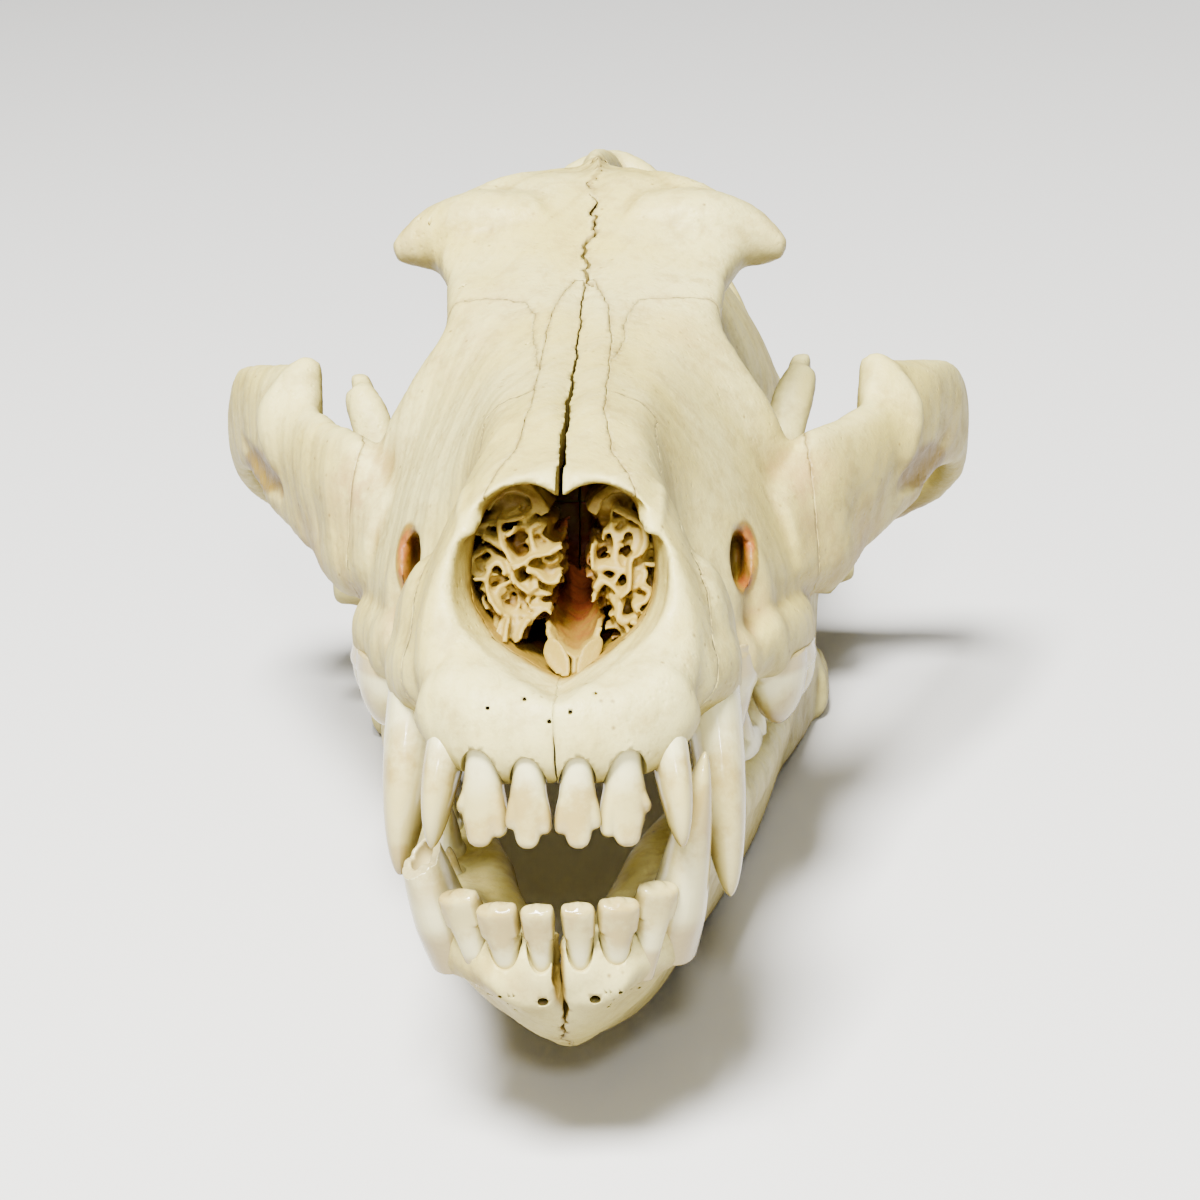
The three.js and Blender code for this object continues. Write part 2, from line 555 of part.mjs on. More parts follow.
function jawSockets() {
  return bar([
    { at: [4, 10.5, -19.4], across: 4.6, up: 3.4 },
    { at: [9.4, 13.5, -18], across: 4.2, up: 3.6 },
    { at: [14.6, 20.5, -15.4], across: 4.6, up: 4.6 },
    { at: [15.4, 32, -15.4], across: 4.4, up: 4.2 },
    { at: [17.4, 48, -14.5], across: 4, up: 4 },
    { at: [21.8, 77, -13.6], across: 4.8, up: 4.2 },
    { at: [25.4, 98, -13], across: 5.4, up: 4.6 },
    { at: [31.6, 126, -9.5], across: 4, up: 4.2 },
  ], { steps: 11, sides: 8 });
}

// The ramus leans outwards as it rises and as it goes back.
function ramusX(y, z) {
  const base = 34.6 + (y - 140) * 0.12 + z * 0.055;
  return base - 6 * clamp((152 - y) / 20, 0, 1) * clamp((-z - 4) / 24, 0, 1);
}

function jawRamus() {
  const outline = [
    [130, -12], [137, -4], [144, 5], [150, 18], [156, 32], [162, 42], [168, 46.5], [174, 45.5], [178, 40],
    [179.5, 31], [177.5, 21], [177.5, 13], [182, 9], [184, 3], [182, -4], [180, -9], [180, -18], [160, -20],
    [140, -24], [131, -24],
  ];
  const edge = { bevelEnabled: true, bevelThickness: 1.3, bevelSize: 1.2, bevelOffset: -1.2, bevelSegments: 1 };
  const made = prism("side", outline, -1.2, 1.2, edge);
  const p = made.attributes.position;
  for (let i = 0; i < p.count; i += 1) p.setX(i, p.getX(i) + ramusX(p.getY(i), p.getZ(i)));
  return made;
}

function coronoidEdge() {
  return bar([
    { at: [33, 133, -8], across: 4, up: 3.4 },
    { at: [35.4, 145, 6], across: 3, up: 2.8 },
    { at: [37.4, 154, 26], across: 2.4, up: 2.4 },
    { at: [39.4, 162, 41], across: 2.2, up: 2 },
  ], { steps: 6 });
}

function jawCondyle(margin = 0) {
  const path = [
    { x: 25.5, radius: 2.6 },
    { x: 31, radius: 4.4 },
    { x: 39, radius: 4.8 },
    { x: 48, radius: 3.2 },
  ];
  const ends = [-margin, 0, 0, margin];
  const around = path.map(({ x, radius }, i) => {
    return { at: [x + ends[i], JAW_PIVOT.y, JAW_PIVOT.z], across: radius + margin, up: radius + margin };
  });
  return bar(around, { steps: 5, square: 1 });
}

function angularProcess() {
  return bar([
    { at: [39.4, 172, -16], across: 3, up: 5.5 },
    { at: [40, 182, -16.6], across: 2.9, up: 4.6 },
    { at: [40.4, 189, -15], across: 2.4, up: 2.8 },
    { at: [40.4, 193, -12.5], across: 1.4, up: 1.4 },
  ], { steps: 6 });
}

const masseterFossa = () => blob([43.6, 162, 9], [4.8, 12, 24], [deg(-13), deg(-3), deg(-7)]);

function jawHalf(side, floorCut) {
  const bones = [jawBody(), jawSockets(), jawRamus(), coronoidEdge(), jawCondyle(), angularProcess()];
  const otherHalf = solid(new THREE.BoxGeometry(40, 400, 200).translate(SUTURE_GAP / 2 - 20, 100, 0));
  const up = { jaw: 1 };
  const flatTeeth = [...LOWER_INCISORS, ...LOWER_CHEEK].map((tooth) => bladeTooth({ ...tooth, ...up }));
  let canine = solid(coneTooth(LOWER_CANINE));
  if (side < 0) {
    const level = LOWER_CANINE.at[2] + (LOWER_CANINE.tip[2] - LOWER_CANINE.at[2]) * BROKEN_SHARE;
    canine = canine.subtract(solid(new THREE.BoxGeometry(40, 40, 40).rotateY(deg(20)).translate(14, 15, level + 20)));
  }
  const half = joined(bones).subtract(solid(masseterFossa())).subtract(otherHalf).add(joined(flatTeeth)).add(canine);
  const placed = side > 0 ? half : solid(mirrored(geometryOf(half)));
  return placed.subtract(floorCut);
}

// The bones' regions, which share the cranium out along its sutures. A margin makes a region that much larger.

const NASAL_EDGE = [
  [13.4, 8], [12.6, 20], [9.6, 27], [6.8, 36], [5.4, 50], [5.3, 75], [5.1, 92], [4.2, 103], [2.8, 111], [1.4, 115.5],
];
const FRONTAL_EDGE = [[5.2, 74], [6.8, 87], [7.6, 101], [9.2, 107], [17.6, 110.5], [23, 112.5], [50, 112.5]];

function regionOf(axes, outline, low, high, margin) {
  return solid(prism(axes, outset(outline, margin), low - margin, high + margin));
}

function nasalRegion(side, margin) {
  const outline = [[0, 8], ...NASAL_EDGE, [0, 115.5]];
  return regionOf("plan", outline.map(([x, y]) => [x * side, y]), 27, 100, margin);
}

function premaxillaRegion(side, margin) {
  const outline = [[-14, -30], [17.5, -30], [17.5, 4], [20, 14], [31, 28], [60, 42], [60, 70], [-14, 70]];
  return regionOf("side", outline, Math.min(0, side * 60), Math.max(0, side * 60), margin);
}

function frontalRegion(margin) {
  const half = [...FRONTAL_EDGE, [50, 160]];
  const plan = [...half, ...half.toReversed().map(([x, y]) => [-x, y])];
  const reach = [[70, 46], [70, 110], [160, 110], [159, 74], [152, 52], [146, 34], [111, 34], [108, 46]];
  return regionOf("plan", plan, 20, 110, margin).intersect(regionOf("side", reach, -60, 60, margin));
}

function maxillaRegion(side, margin) {
  const outline = [[10, -40], [131, -40], [131, 17], [113, 24], [111, 36], [113, 80], [10, 80]];
  return regionOf("side", outline, Math.min(0, side * 60), Math.max(0, side * 60), margin);
}

function archRegion(side, margin) {
  const outline = [[39, 131], [36, 114], [36, 104], [40, 95], [90, 95], [90, 205], [49, 205], [49, 182], [43, 160]];
  return regionOf("plan", outline.map(([x, y]) => [x * side, y]), 10, 70, margin);
}

// The jaw's pose against the cranium: it hangs open, rolled and shifted a little, about the jaw joint.

function jawPose() {
  const swing = new THREE.Matrix4().makeRotationX(JAW_OPENING);
  const roll = new THREE.Matrix4().makeRotationY(JAW_ROLL);
  const toPivot = new THREE.Matrix4().makeTranslation(JAW_PIVOT.clone().negate());
  const back = new THREE.Matrix4().makeTranslation(JAW_PIVOT.clone().add(JAW_SHIFT));
  return back.multiply(roll).multiply(swing).multiply(toPivot);
}

const cranium = joined([
  loft(CRANIUM_STATIONS.map(craniumRing)), incisorRidge(), sagittalCrest(), nuchalCrest(), occiput(),
  ...bothSides([
    socketRidge(), canineSwell(), postorbitalProcess(), zygomaticArch(), jugalHorn(), postglenoidProcess(), bulla(),
    condyleOfSkull(), mastoid(), paroccipitalProcess(), pterygoidPlate(),
  ]),
]);
const hollows = joined([passage(), choana(), foramenMagnum(), palateVault(), ...bothSides([infraorbitalHole()])]);
const jawJoint = joined(bothSides([jawCondyle(SUTURE_GAP)]).map((geometry) => geometry.applyMatrix4(jawPose())));

let rest = cranium.subtract(hollows).subtract(jawJoint);

// Takes a region's share out of what is left of the cranium, with a suture's gap round it.
function takeShare(region, teeth = []) {
  const share = rest.intersect(region(0));
  rest = rest.subtract(region(SUTURE_GAP));
  return teeth.length ? share.add(joined(teeth)) : share;
}

const SIDES = [
  { name: "left", side: 1, tip: UPPER_CANINE.tip, ofSide: (teeth) => teeth },
  { name: "right", side: -1, tip: WORN_TIP, ofSide: (teeth) => teeth.map(mirrored) },
];
const foreTeeth = [...UPPER_INCISORS.map(bladeTooth), coneTooth(UPPER_CORNER)];
const cheekTeeth = (tip) => [coneTooth({ ...UPPER_CANINE, tip }), ...UPPER_CHEEK.map(bladeTooth)];
const bones = {};
for (const { name, side } of SIDES) bones[`zygomatic_arch_${name}`] = takeShare((gap) => archRegion(side, gap));
for (const { name, side } of SIDES) bones[`nasal_${name}`] = takeShare((gap) => nasalRegion(side, gap));
for (const { name, side, ofSide } of SIDES) {
  bones[`premaxilla_${name}`] = takeShare((gap) => premaxillaRegion(side, gap), ofSide(foreTeeth));
}
bones.frontal = takeShare(frontalRegion);
for (const { name, side, tip, ofSide } of SIDES) {
  bones[`maxilla_${name}`] = takeShare((gap) => maxillaRegion(side, gap), ofSide(cheekTeeth(tip)));
}
bones.braincase = rest;

const scrolls = { vomer: solid(vomer()) };
const room = solid(passage(SUTURE_GAP)).subtract(solid(vomer(SUTURE_GAP)));
for (const { name, ofSide } of SIDES) {
  scrolls[`turbinate_${name}`] = joined(ofSide(turbinate())).intersect(room);
}

// The skull laid on the floor: the jaw tips nose up until its body and both angular processes touch.

const restSlope = Math.atan2(ANGLE_REST.z - BODY_REST.z, ANGLE_REST.y - BODY_REST.y);
const floorCut = solid(
  new THREE.BoxGeometry(300, 600, 60)
    .translate(0, 0, -30 + FLAT_DEPTH)
    .rotateX(restSlope)
    .translate(0, BODY_REST.y, BODY_REST.z),
);

const BONE = { color: 0xe8dfbf, roughness: 0.6, metalness: 0 };
const SCROLL = { color: 0xd2b877, roughness: 0.7, metalness: 0 };

function node(name, made, look) {
  const mesh = new THREE.Mesh(geometryOf(largest(made)), new THREE.MeshStandardMaterial(look));
  mesh.name = name;
  return mesh;
}

const head = new THREE.Group();
head.name = "head";
for (const [name, made] of Object.entries(bones)) head.add(node(name, made, BONE));
for (const [name, made] of Object.entries(scrolls)) head.add(node(name, made, SCROLL));
jawPose().invert().decompose(head.position, head.quaternion, head.scale);

const jaw = new THREE.Group();
for (const { name, side } of SIDES) jaw.add(node(`mandible_${name}`, jawHalf(side, floorCut), BONE));
jaw.add(head);
jaw.rotation.x = -restSlope;

const skull = new THREE.Group();
skull.name = "wolf_skull";
skull.add(jaw);
const box = new THREE.Box3().setFromObject(skull, true);
const middle = box.getCenter(new THREE.Vector3());
jaw.position.set(-middle.x, -middle.y, -box.min.z);

export default skull;
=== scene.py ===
"""A wolf's skull, mouth ajar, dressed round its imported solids.

Bones are shaped in millimetres in an anatomical frame: x to the side, y from the front of the upper incisors back to
the occiput, z up from the rim of the upper tooth sockets. Last of all they are laid on the floor, in metres.
"""

import json
import logging
import math
from collections.abc import Callable, Sequence
from dataclasses import dataclass, field, replace
from enum import Enum

import bmesh
import bpy
import numpy as np
from mathutils import Euler, Matrix, Vector
from mathutils.kdtree import KDTree

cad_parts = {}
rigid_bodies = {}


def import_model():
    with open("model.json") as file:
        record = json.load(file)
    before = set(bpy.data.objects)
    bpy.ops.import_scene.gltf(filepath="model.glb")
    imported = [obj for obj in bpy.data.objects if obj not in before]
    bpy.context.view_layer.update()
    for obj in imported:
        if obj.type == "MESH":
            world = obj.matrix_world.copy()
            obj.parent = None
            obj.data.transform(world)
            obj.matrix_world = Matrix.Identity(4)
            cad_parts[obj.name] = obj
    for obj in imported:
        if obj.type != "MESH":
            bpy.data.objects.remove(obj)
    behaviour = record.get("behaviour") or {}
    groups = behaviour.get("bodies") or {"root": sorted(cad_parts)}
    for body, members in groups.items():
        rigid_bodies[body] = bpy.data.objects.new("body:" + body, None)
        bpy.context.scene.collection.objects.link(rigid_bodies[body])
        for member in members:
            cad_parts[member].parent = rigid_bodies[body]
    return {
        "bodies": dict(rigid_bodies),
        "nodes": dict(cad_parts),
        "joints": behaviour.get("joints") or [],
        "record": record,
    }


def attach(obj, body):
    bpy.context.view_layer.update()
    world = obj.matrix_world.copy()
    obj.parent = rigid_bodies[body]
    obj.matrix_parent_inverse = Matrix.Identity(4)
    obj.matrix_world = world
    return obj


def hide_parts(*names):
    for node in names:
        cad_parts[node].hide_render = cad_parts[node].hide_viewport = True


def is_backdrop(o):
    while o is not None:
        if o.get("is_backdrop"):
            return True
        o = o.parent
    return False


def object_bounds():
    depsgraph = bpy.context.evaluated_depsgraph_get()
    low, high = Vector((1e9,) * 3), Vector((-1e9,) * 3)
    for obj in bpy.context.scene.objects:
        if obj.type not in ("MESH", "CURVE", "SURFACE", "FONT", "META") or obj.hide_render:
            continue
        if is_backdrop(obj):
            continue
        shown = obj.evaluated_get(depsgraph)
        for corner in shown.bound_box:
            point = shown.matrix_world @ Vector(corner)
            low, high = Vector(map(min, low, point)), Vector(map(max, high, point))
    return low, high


log = logging.getLogger("wolf_skull")

Point = Sequence[float]
Rows = Sequence[Sequence[float]]
Piece = bpy.types.Object

METRES = 0.001

# The skull's pose, as in its solids: the jaw hangs open about its pivot, and the whole rests on the jaw's underside.
JAW_PIVOT = Vector((0.0, 180.0, 6.0))
JAW_OPENING = math.radians(4.05)
JAW_ROLL = math.radians(-2.2)
JAW_SHIFT = Vector((-1.5, -0.8, -0.3))
REST_SLOPE = math.atan2(-20.7 + 37.3, 182.0 - 88.0)
JAW_ORIGIN = Vector((-2.566, -132.879, 51.435))

# The plane of the nose's opening: how far behind the incisors it starts, and how far back it goes as it rises.
NOSE_FRONT = 14.0
NOSE_LEAN = 0.55

# How far the dressed skull keeps off the floor, in metres.
FLOOR_GAP = 1e-5

# The side that the light comes from, for the painted shade on faces turned away from it, and how squarely skin faces it
# where that shade ends and where it is full.
LIGHT_SIDE = (0.0, -0.6, 0.8)
SHADE_ENDS, SHADE_FULL = 0.95, -0.1


class Side(Enum):
    """A side of the animal; its value is the sign of x there."""

    LEFT = 1
    RIGHT = -1

    @property
    def word(self) -> str:
        """The side's name in a piece's name."""
        return self.name.lower()

    @property
    def flip(self) -> Matrix:
        """The matrix that carries a left-hand shape to this side."""
        return Matrix.Diagonal((self.value, 1.0, 1.0, 1.0))


class Plane(Enum):
    """The plane that an outline is drawn in."""

    PLAN = "x and y"
    PROFILE = "y and z"

    def lift(self, outline: np.ndarray, depth: float) -> np.ndarray:
        """Puts a flat outline at a depth across its plane.

        Args:
            outline: Points of two coordinates.
            depth: The third coordinate.

        Returns:
            The points with three coordinates.
        """
        across = np.full((len(outline), 1), depth)
        parts = (outline, across) if self is Plane.PLAN else (across, outline)
        return np.hstack(parts)


class Frame(Enum):
    """The two bones that move against each other: the head, and the lower jaw."""

    HEAD = "head"
    JAW = "jaw"

    @property
    def pose(self) -> Matrix:
        """The matrix from millimetres in the anatomical frame to metres on the floor."""
        jaw = Matrix.Translation(JAW_ORIGIN) @ Matrix.Rotation(-REST_SLOPE, 4, "X")
        scale = Matrix.Scale(METRES, 4)
        return scale @ jaw if self is Frame.JAW else scale @ jaw @ opened_jaw().inverted()


def opened_jaw() -> Matrix:
    """The matrix that opens the jaw against the head."""
    swing = Matrix.Rotation(JAW_ROLL, 4, "Y") @ Matrix.Rotation(JAW_OPENING, 4, "X")
    return Matrix.Translation(JAW_PIVOT + JAW_SHIFT) @ swing @ Matrix.Translation(-JAW_PIVOT)


# Curves and tables

# A suture's waves, each with its length in millimetres and its share, and how they lie across x, y and z.
WAVES = ((9.0, 0.5), (4.1, 0.3), (1.9, 0.22), (1.05, 0.14))
WAVE_TURN = ((0.8, 0.5, 0.3), (-0.6, 0.7, 0.4), (0.2, -0.5, 0.9))


def blend(first: np.ndarray, last: np.ndarray, start: np.ndarray, end: np.ndarray, t: np.ndarray) -> np.ndarray:
    """Passes smoothly from one value to the next.

    Args:
        first: The value that it comes from.
        last: The value that it goes to.
        start: Its slope as it leaves.
        end: Its slope as it arrives.
        t: How far on it is, from 0 to 1.

    Returns:
        The value there.
    """
    eased = 3 * t**2 - 2 * t**3
    return first * (1 - eased) + last * eased + (t**3 - 2 * t**2 + t) * start + (t**3 - t**2) * end


def smooth_curve(points: Rows, count: int, closed: bool = False) -> np.ndarray:
    """Samples a smooth curve through points.

    Args:
        points: The points that it passes through.
        count: How many samples to take.
        closed: Whether it joins up with its start.

    Returns:
        One row for each sample.
    """
    given = np.asarray(points, float)
    spans = len(given) if closed else len(given) - 1
    if closed:
        padded = np.vstack([given[-1], given, given[0], given[1]])
    else:
        padded = np.vstack([2 * given[0] - given[1], given, 2 * given[-1] - given[-2]])
    where = np.linspace(0, spans, count, endpoint=not closed)
    k = np.minimum(where.astype(int), spans - 1)
    u = (where - k)[:, None]
    a, b, c, d = (padded[k + i] for i in range(4))
    ab, bc, cd = (np.linalg.norm(q - p, axis=1, keepdims=True) ** 0.5 + 1e-6 for p, q in ((a, b), (b, c), (c, d)))
    start = ((b - a) / ab - (c - a) / (ab + bc) + (c - b) / bc) * bc
    end = ((c - b) / bc - (d - b) / (bc + cd) + (d - c) / cd) * bc
    return blend(b, c, start, end, u)


def read_table(table: Rows, where: Sequence[float]) -> np.ndarray:
    """Reads a table of sizes between its rows.

    Args:
        table: Rows of a station followed by the sizes there.
        where: The stations to read it at.

    Returns:
        One row of sizes for each station asked for.
    """
    rows = np.asarray(table, float)
    stations, sizes = rows[:, 0], rows[:, 1:]
    at = np.clip(np.asarray(where, float), stations[0], stations[-1])
    i = np.clip(np.searchsorted(stations, at, side="right") - 1, 0, len(rows) - 2)
    span = (stations[i + 1] - stations[i])[:, None]
    t = (at - stations[i])[:, None] / span
    before, after = np.maximum(i - 1, 0), np.minimum(i + 2, len(rows) - 1)
    start = (sizes[i + 1] - sizes[before]) / (stations[i + 1] - stations[before])[:, None] * span
    end = (sizes[after] - sizes[i]) / (stations[after] - stations[i])[:, None] * span
    return blend(sizes[i], sizes[i + 1], start, end, t)


def circle(sides: int, square: float = 1.0) -> tuple[np.ndarray, np.ndarray]:
    """A circle's cosines and sines, its corners filled out as square drops below one."""
    angle = np.arange(sides) / sides * 2 * math.pi
    return tuple(np.sign(v) * np.abs(v) ** square for v in (np.cos(angle), np.sin(angle)))


def fade(value: np.ndarray, low: float, high: float) -> np.ndarray:
    """Rises smoothly from 0 where value is low to 1 where it is high."""
    t = np.clip((value - low) / (high - low), 0, 1)
    return t * t * (3 - 2 * t)


def mirror_path(path: Rows) -> list[list[float]]:
    """A path that comes from the other side to where the given one starts."""
    return [[-row[0], *row[1:]] for row in reversed(path)]


def both_sides(half: Rows, shared: int = 0) -> list[Sequence[float]]:
    """Carries an outline that is drawn on the left on over the right side.

    Args:
        half: Its points on the left.
        shared: How many points at either end lie on the midline.

    Returns:
        The points all round.
    """
    other = half[shared : len(half) - shared]
    return [*half, *((-x, y) for x, y in reversed(other))]


def to_left(points: np.ndarray) -> np.ndarray:
    """The points, with those of the right side mirrored to the left."""
    return np.column_stack([np.abs(points[:, 0]), points[:, 1:]])


def wander(points: np.ndarray, size: float) -> np.ndarray:
    """A small, repeatable wandering of points, as of a suture.

    Args:
        points: Rows of coordinates in millimetres.
        size: How far it strays, in millimetres.

    Returns:
        The offset of each point.
    """
    total = np.zeros_like(points)
    for wave, share in WAVES:
        turned = points @ np.array(WAVE_TURN)
        total += share * size * np.sin(turned * 2 * math.pi / wave + wave)
    return total


# Modelling


def placed(name: str, data: bpy.types.ID) -> Piece:
    """A new object of the scene that shows the given mesh, light or camera."""
    made = bpy.data.objects.new(name, data)
    bpy.context.scene.collection.objects.link(made)
    return made


class Clay:
    """Overlapping closed shapes in one mesh, which a remesh then fuses into one skin."""

    def __init__(self, pose: Matrix | None = None) -> None:
        """Starts empty.

        Args:
            pose: Where the shapes added next are put.
        """
        self.mesh = bmesh.new()
        self.pose = pose or Matrix()

    def ball(self, at: Point, radii: Point, turn: Point = (0, 0, 0), sides: int = 40) -> None:
        """Adds an ellipsoid.

        Args:
            at: Its centre.
            radii: Its three radii.
            turn: Its rotation about x, y and z, in degrees.
            sides: How many segments it has round it.
        """
        spin = Euler([math.radians(t) for t in turn], "ZYX")
        matrix = self.pose @ Matrix.LocRotScale(Vector(at), spin, Vector(radii))
        work = bmesh.new()
        bmesh.ops.create_uvsphere(work, u_segments=sides, v_segments=sides // 2, radius=1, matrix=matrix)
        self.add(work)

    def add(self, work: bmesh.types.BMesh) -> None:
        """Moves a shape in from a mesh of its own, where the operators that made it ran fast."""
        data = bpy.data.meshes.new("shape")
        work.to_mesh(data)
        work.free()
        self.mesh.from_mesh(data)
        bpy.data.meshes.remove(data)

    def skin(self, rings: Sequence[np.ndarray]) -> None:
        """Adds a closed surface through rings of equally many points.

        Args:
            rings: The rings, each with rows of x, y and z.
        """
        rings = np.asarray(rings)
        rows, sides = rings.shape[:2]
        work = bmesh.new()
        verts = bmesh.ops.create_grid(work, x_segments=sides, y_segments=rows - 1, size=1)["verts"]
        wrapped = np.concatenate([rings, rings[:, :1]], axis=1).reshape(-1, 3)
        moved = wrapped @ np.array(self.pose.to_3x3()).T + np.array(self.pose.translation)
        for vert, point in zip(verts, moved, strict=True):
            vert.co = point
        seam = [v for i in range(rows) for v in (verts[i * (sides + 1)], verts[i * (sides + 1) + sides])]
        bmesh.ops.remove_doubles(work, verts=seam, dist=1e-5)
        bmesh.ops.holes_fill(work, edges=[edge for edge in work.edges if edge.is_boundary], sides=0)
        self.add(work)

    def bar(self, path: Rows, upright: Point = (0, 0, 1), sides: int = 32, square: float = 0.9) -> None:
        """Adds a bar with an oval section along a smooth path.

        Args:
            path: Rows of x, y, z, half the width and half the height.
            upright: The direction that its height is kept towards.
            sides: How many segments it has round it.
            square: How square its section is, where 1 is round.
        """
        rows = np.asarray(path, float)
        count = len(rows) * 7
        line = smooth_curve(rows[:, :3], count)
        numbered = np.column_stack([np.arange(len(rows)), rows[:, 3:5]])
        sizes = np.maximum(read_table(numbered, np.linspace(0, len(rows) - 1, count)), 0.15)
        along = np.gradient(line, axis=0)
        along /= np.linalg.norm(along, axis=1, keepdims=True)
        across = np.cross(along, upright)
        across /= np.linalg.norm(across, axis=1, keepdims=True)
        up = np.cross(across, along)
        u, v = circle(sides, square)
        wide = across[:, None] * u[None, :, None] * sizes[:, None, :1]
        high = up[:, None] * v[None, :, None] * sizes[:, None, 1:]
        self.skin(line[:, None] + wide + high)

    def column(self, levels: Rows, sides: int = 24, square: float = 1.0) -> None:
        """Adds an upright column.

        Args:
            levels: Rows of a height, half the length, half the width, and the middle's x and y there.
            sides: How many segments it has round it.
            square: How square its section is, where 1 is round.
        """
        heights = np.linspace(levels[0][0], levels[-1][0], len(levels) * 5)
        sizes = read_table(levels, heights)
        u, v = circle(sides, square)
        x = sizes[:, 2:3] + u * np.maximum(sizes[:, :1], 0.05)
        y = sizes[:, 3:4] + v * np.maximum(sizes[:, 1:2], 0.05)
        self.skin(np.stack([x, y, np.broadcast_to(heights[:, None], x.shape)], axis=2))

    def slab(self, outline: Rows, low: float, high: float, plane: Plane) -> None:
        """Adds a flat plate.

        Args:
            outline: Its corners.
            low: Where it starts across its plane.
            high: Where it ends.
            plane: The plane that it is drawn in.
        """
        flat = np.asarray(outline, float)
        self.skin([plane.lift(flat, depth) for depth in (low, high)])

    def take(self, piece: Piece) -> None:
        """Adds a piece's mesh, in the clay's pose, and removes the piece.

        Args:
            piece: The object.
        """
        piece.data.transform(self.pose)
        self.mesh.from_mesh(piece.data)
        discard(piece)

    def to_piece(self, name: str) -> Piece:
        """Makes an object of the shapes as they are and empties the clay.

        Args:
            name: The object's name.

        Returns:
            The object.
        """
        bmesh.ops.recalc_face_normals(self.mesh, faces=self.mesh.faces[:])
        data = bpy.data.meshes.new(name)
        self.mesh.to_mesh(data)
        self.mesh.free()
        return placed(name, data)

    def fused(self, name: str, voxel: float, rounds: int) -> Piece:
        """Fuses the shapes into one smooth skin.

        Args:
            name: The object's name.
            voxel: The size of the skin's facets.
            rounds: How often it is smoothed.

        Returns:
            The object.
        """
        return refine(self.to_piece(name), voxel, rounds)


def settle(piece: Piece) -> Piece:
    """Applies a piece's modifiers to its mesh.

    Args:
        piece: The object.

    Returns:
        The same object.
    """
    graph = bpy.context.evaluated_depsgraph_get()
    made = bpy.data.meshes.new_from_object(piece.evaluated_get(graph))
    old = piece.data
    piece.modifiers.clear()
    piece.data = made
    bpy.data.meshes.remove(old)
    return piece


def refine(piece: Piece, voxel: float, rounds: int) -> Piece:
    """Gives a piece an even, smoothed skin.

    Args:
        piece: The object.
        voxel: The size of the skin's facets.
        rounds: How often it is smoothed.

    Returns:
        The same object.
    """
    fuse = piece.modifiers.new("fuse", "REMESH")
    fuse.mode = "VOXEL"
    fuse.voxel_size = voxel
    fuse.use_smooth_shade = True
    if rounds:
        soften = piece.modifiers.new("soften", "SMOOTH")
        soften.factor = 0.5
        soften.iterations = rounds
    return settle(piece)


def combine(piece: Piece, tool: Piece, how: str) -> Piece:
    """Cuts a piece with a tool, or keeps what lies inside the tool.

    Args:
        piece: The object.
        tool: The other object, which is then removed.
        how: DIFFERENCE or INTERSECT.

    Returns:
        The first object.
    """
    cut = piece.modifiers.new("cut", "BOOLEAN")
    cut.operation = how
    cut.solver = "MANIFOLD"
    cut.object = tool
    settle(piece)
    discard(tool)
    return piece


def discard(piece: Piece) -> None:
    """Removes a piece and its mesh."""
    data = piece.data
    bpy.data.objects.remove(piece)
    bpy.data.meshes.remove(data)


def copy_of(piece: Piece, name: str) -> Piece:
    """A copy of a piece under another name."""
    return placed(name, piece.data.copy())


def places(piece: Piece, what: str = "co") -> np.ndarray:
    """The points, or with "normal" the directions, of a piece's vertices."""
    values = np.empty(len(piece.data.vertices) * 3, np.float32)
    piece.data.vertices.foreach_get(what, values)
    return values.reshape(-1, 3).astype(float)


def put(piece: Piece, points: np.ndarray) -> None:
    """Moves a piece's vertices to new points."""
    piece.data.vertices.foreach_set("co", points.astype(np.float32).ravel())
    piece.data.update()


def keep_largest(piece: Piece) -> None:
    """Removes every loose body but the largest from a piece."""
    work = bmesh.new()
    work.from_mesh(piece.data)
    left = set(work.verts)
    bodies = []
    while left:
        seed = left.pop()
        body, front = {seed}, [seed]
        while front:
            for edge in front.pop().link_edges:
                for vert in edge.verts:
                    if vert in left:
                        left.discard(vert)
                        body.add(vert)
                        front.append(vert)
        bodies.append(body)
    bodies.sort(key=len)
    bmesh.ops.delete(work, geom=[v for body in bodies[:-1] for v in body], context="VERTS")
    work.to_mesh(piece.data)
    work.free()


@dataclass(frozen=True)
class Stroke:
    """A sculpting stroke: it raises the skin along a path, or presses it in where its height is negative."""

    path: Rows
    reach: float
    height: float

    def weight(self, points: np.ndarray) -> np.ndarray:
        """How far the stroke moves each point.

        Args:
            points: Rows of x, y and z.

        Returns:
            The distance that each is moved outwards.
        """
        points = to_left(points)
        line = np.asarray(self.path, float)
        ends = line[1:] if len(line) > 1 else line
        nearest = np.full(len(points), np.inf)
        for start, end in zip(line, ends):
            run = end - start
            t = np.clip((points - start) @ run / max(run @ run, 1e-9), 0, 1)
            gap = points - start - t[:, None] * run
            nearest = np.minimum(nearest, np.einsum("ij,ij->i", gap, gap))
        return self.height * np.exp(-nearest / self.reach**2)


def sculpt(piece: Piece, strokes: Sequence[Stroke]) -> None:
    """Works sculpting strokes into a piece's skin.

    Args:
        piece: The object.
        strokes: The strokes.
    """
    points = places(piece)
    depth = sum(stroke.weight(points) for stroke in strokes)
    put(piece, points + places(piece, "normal") * depth[:, None])


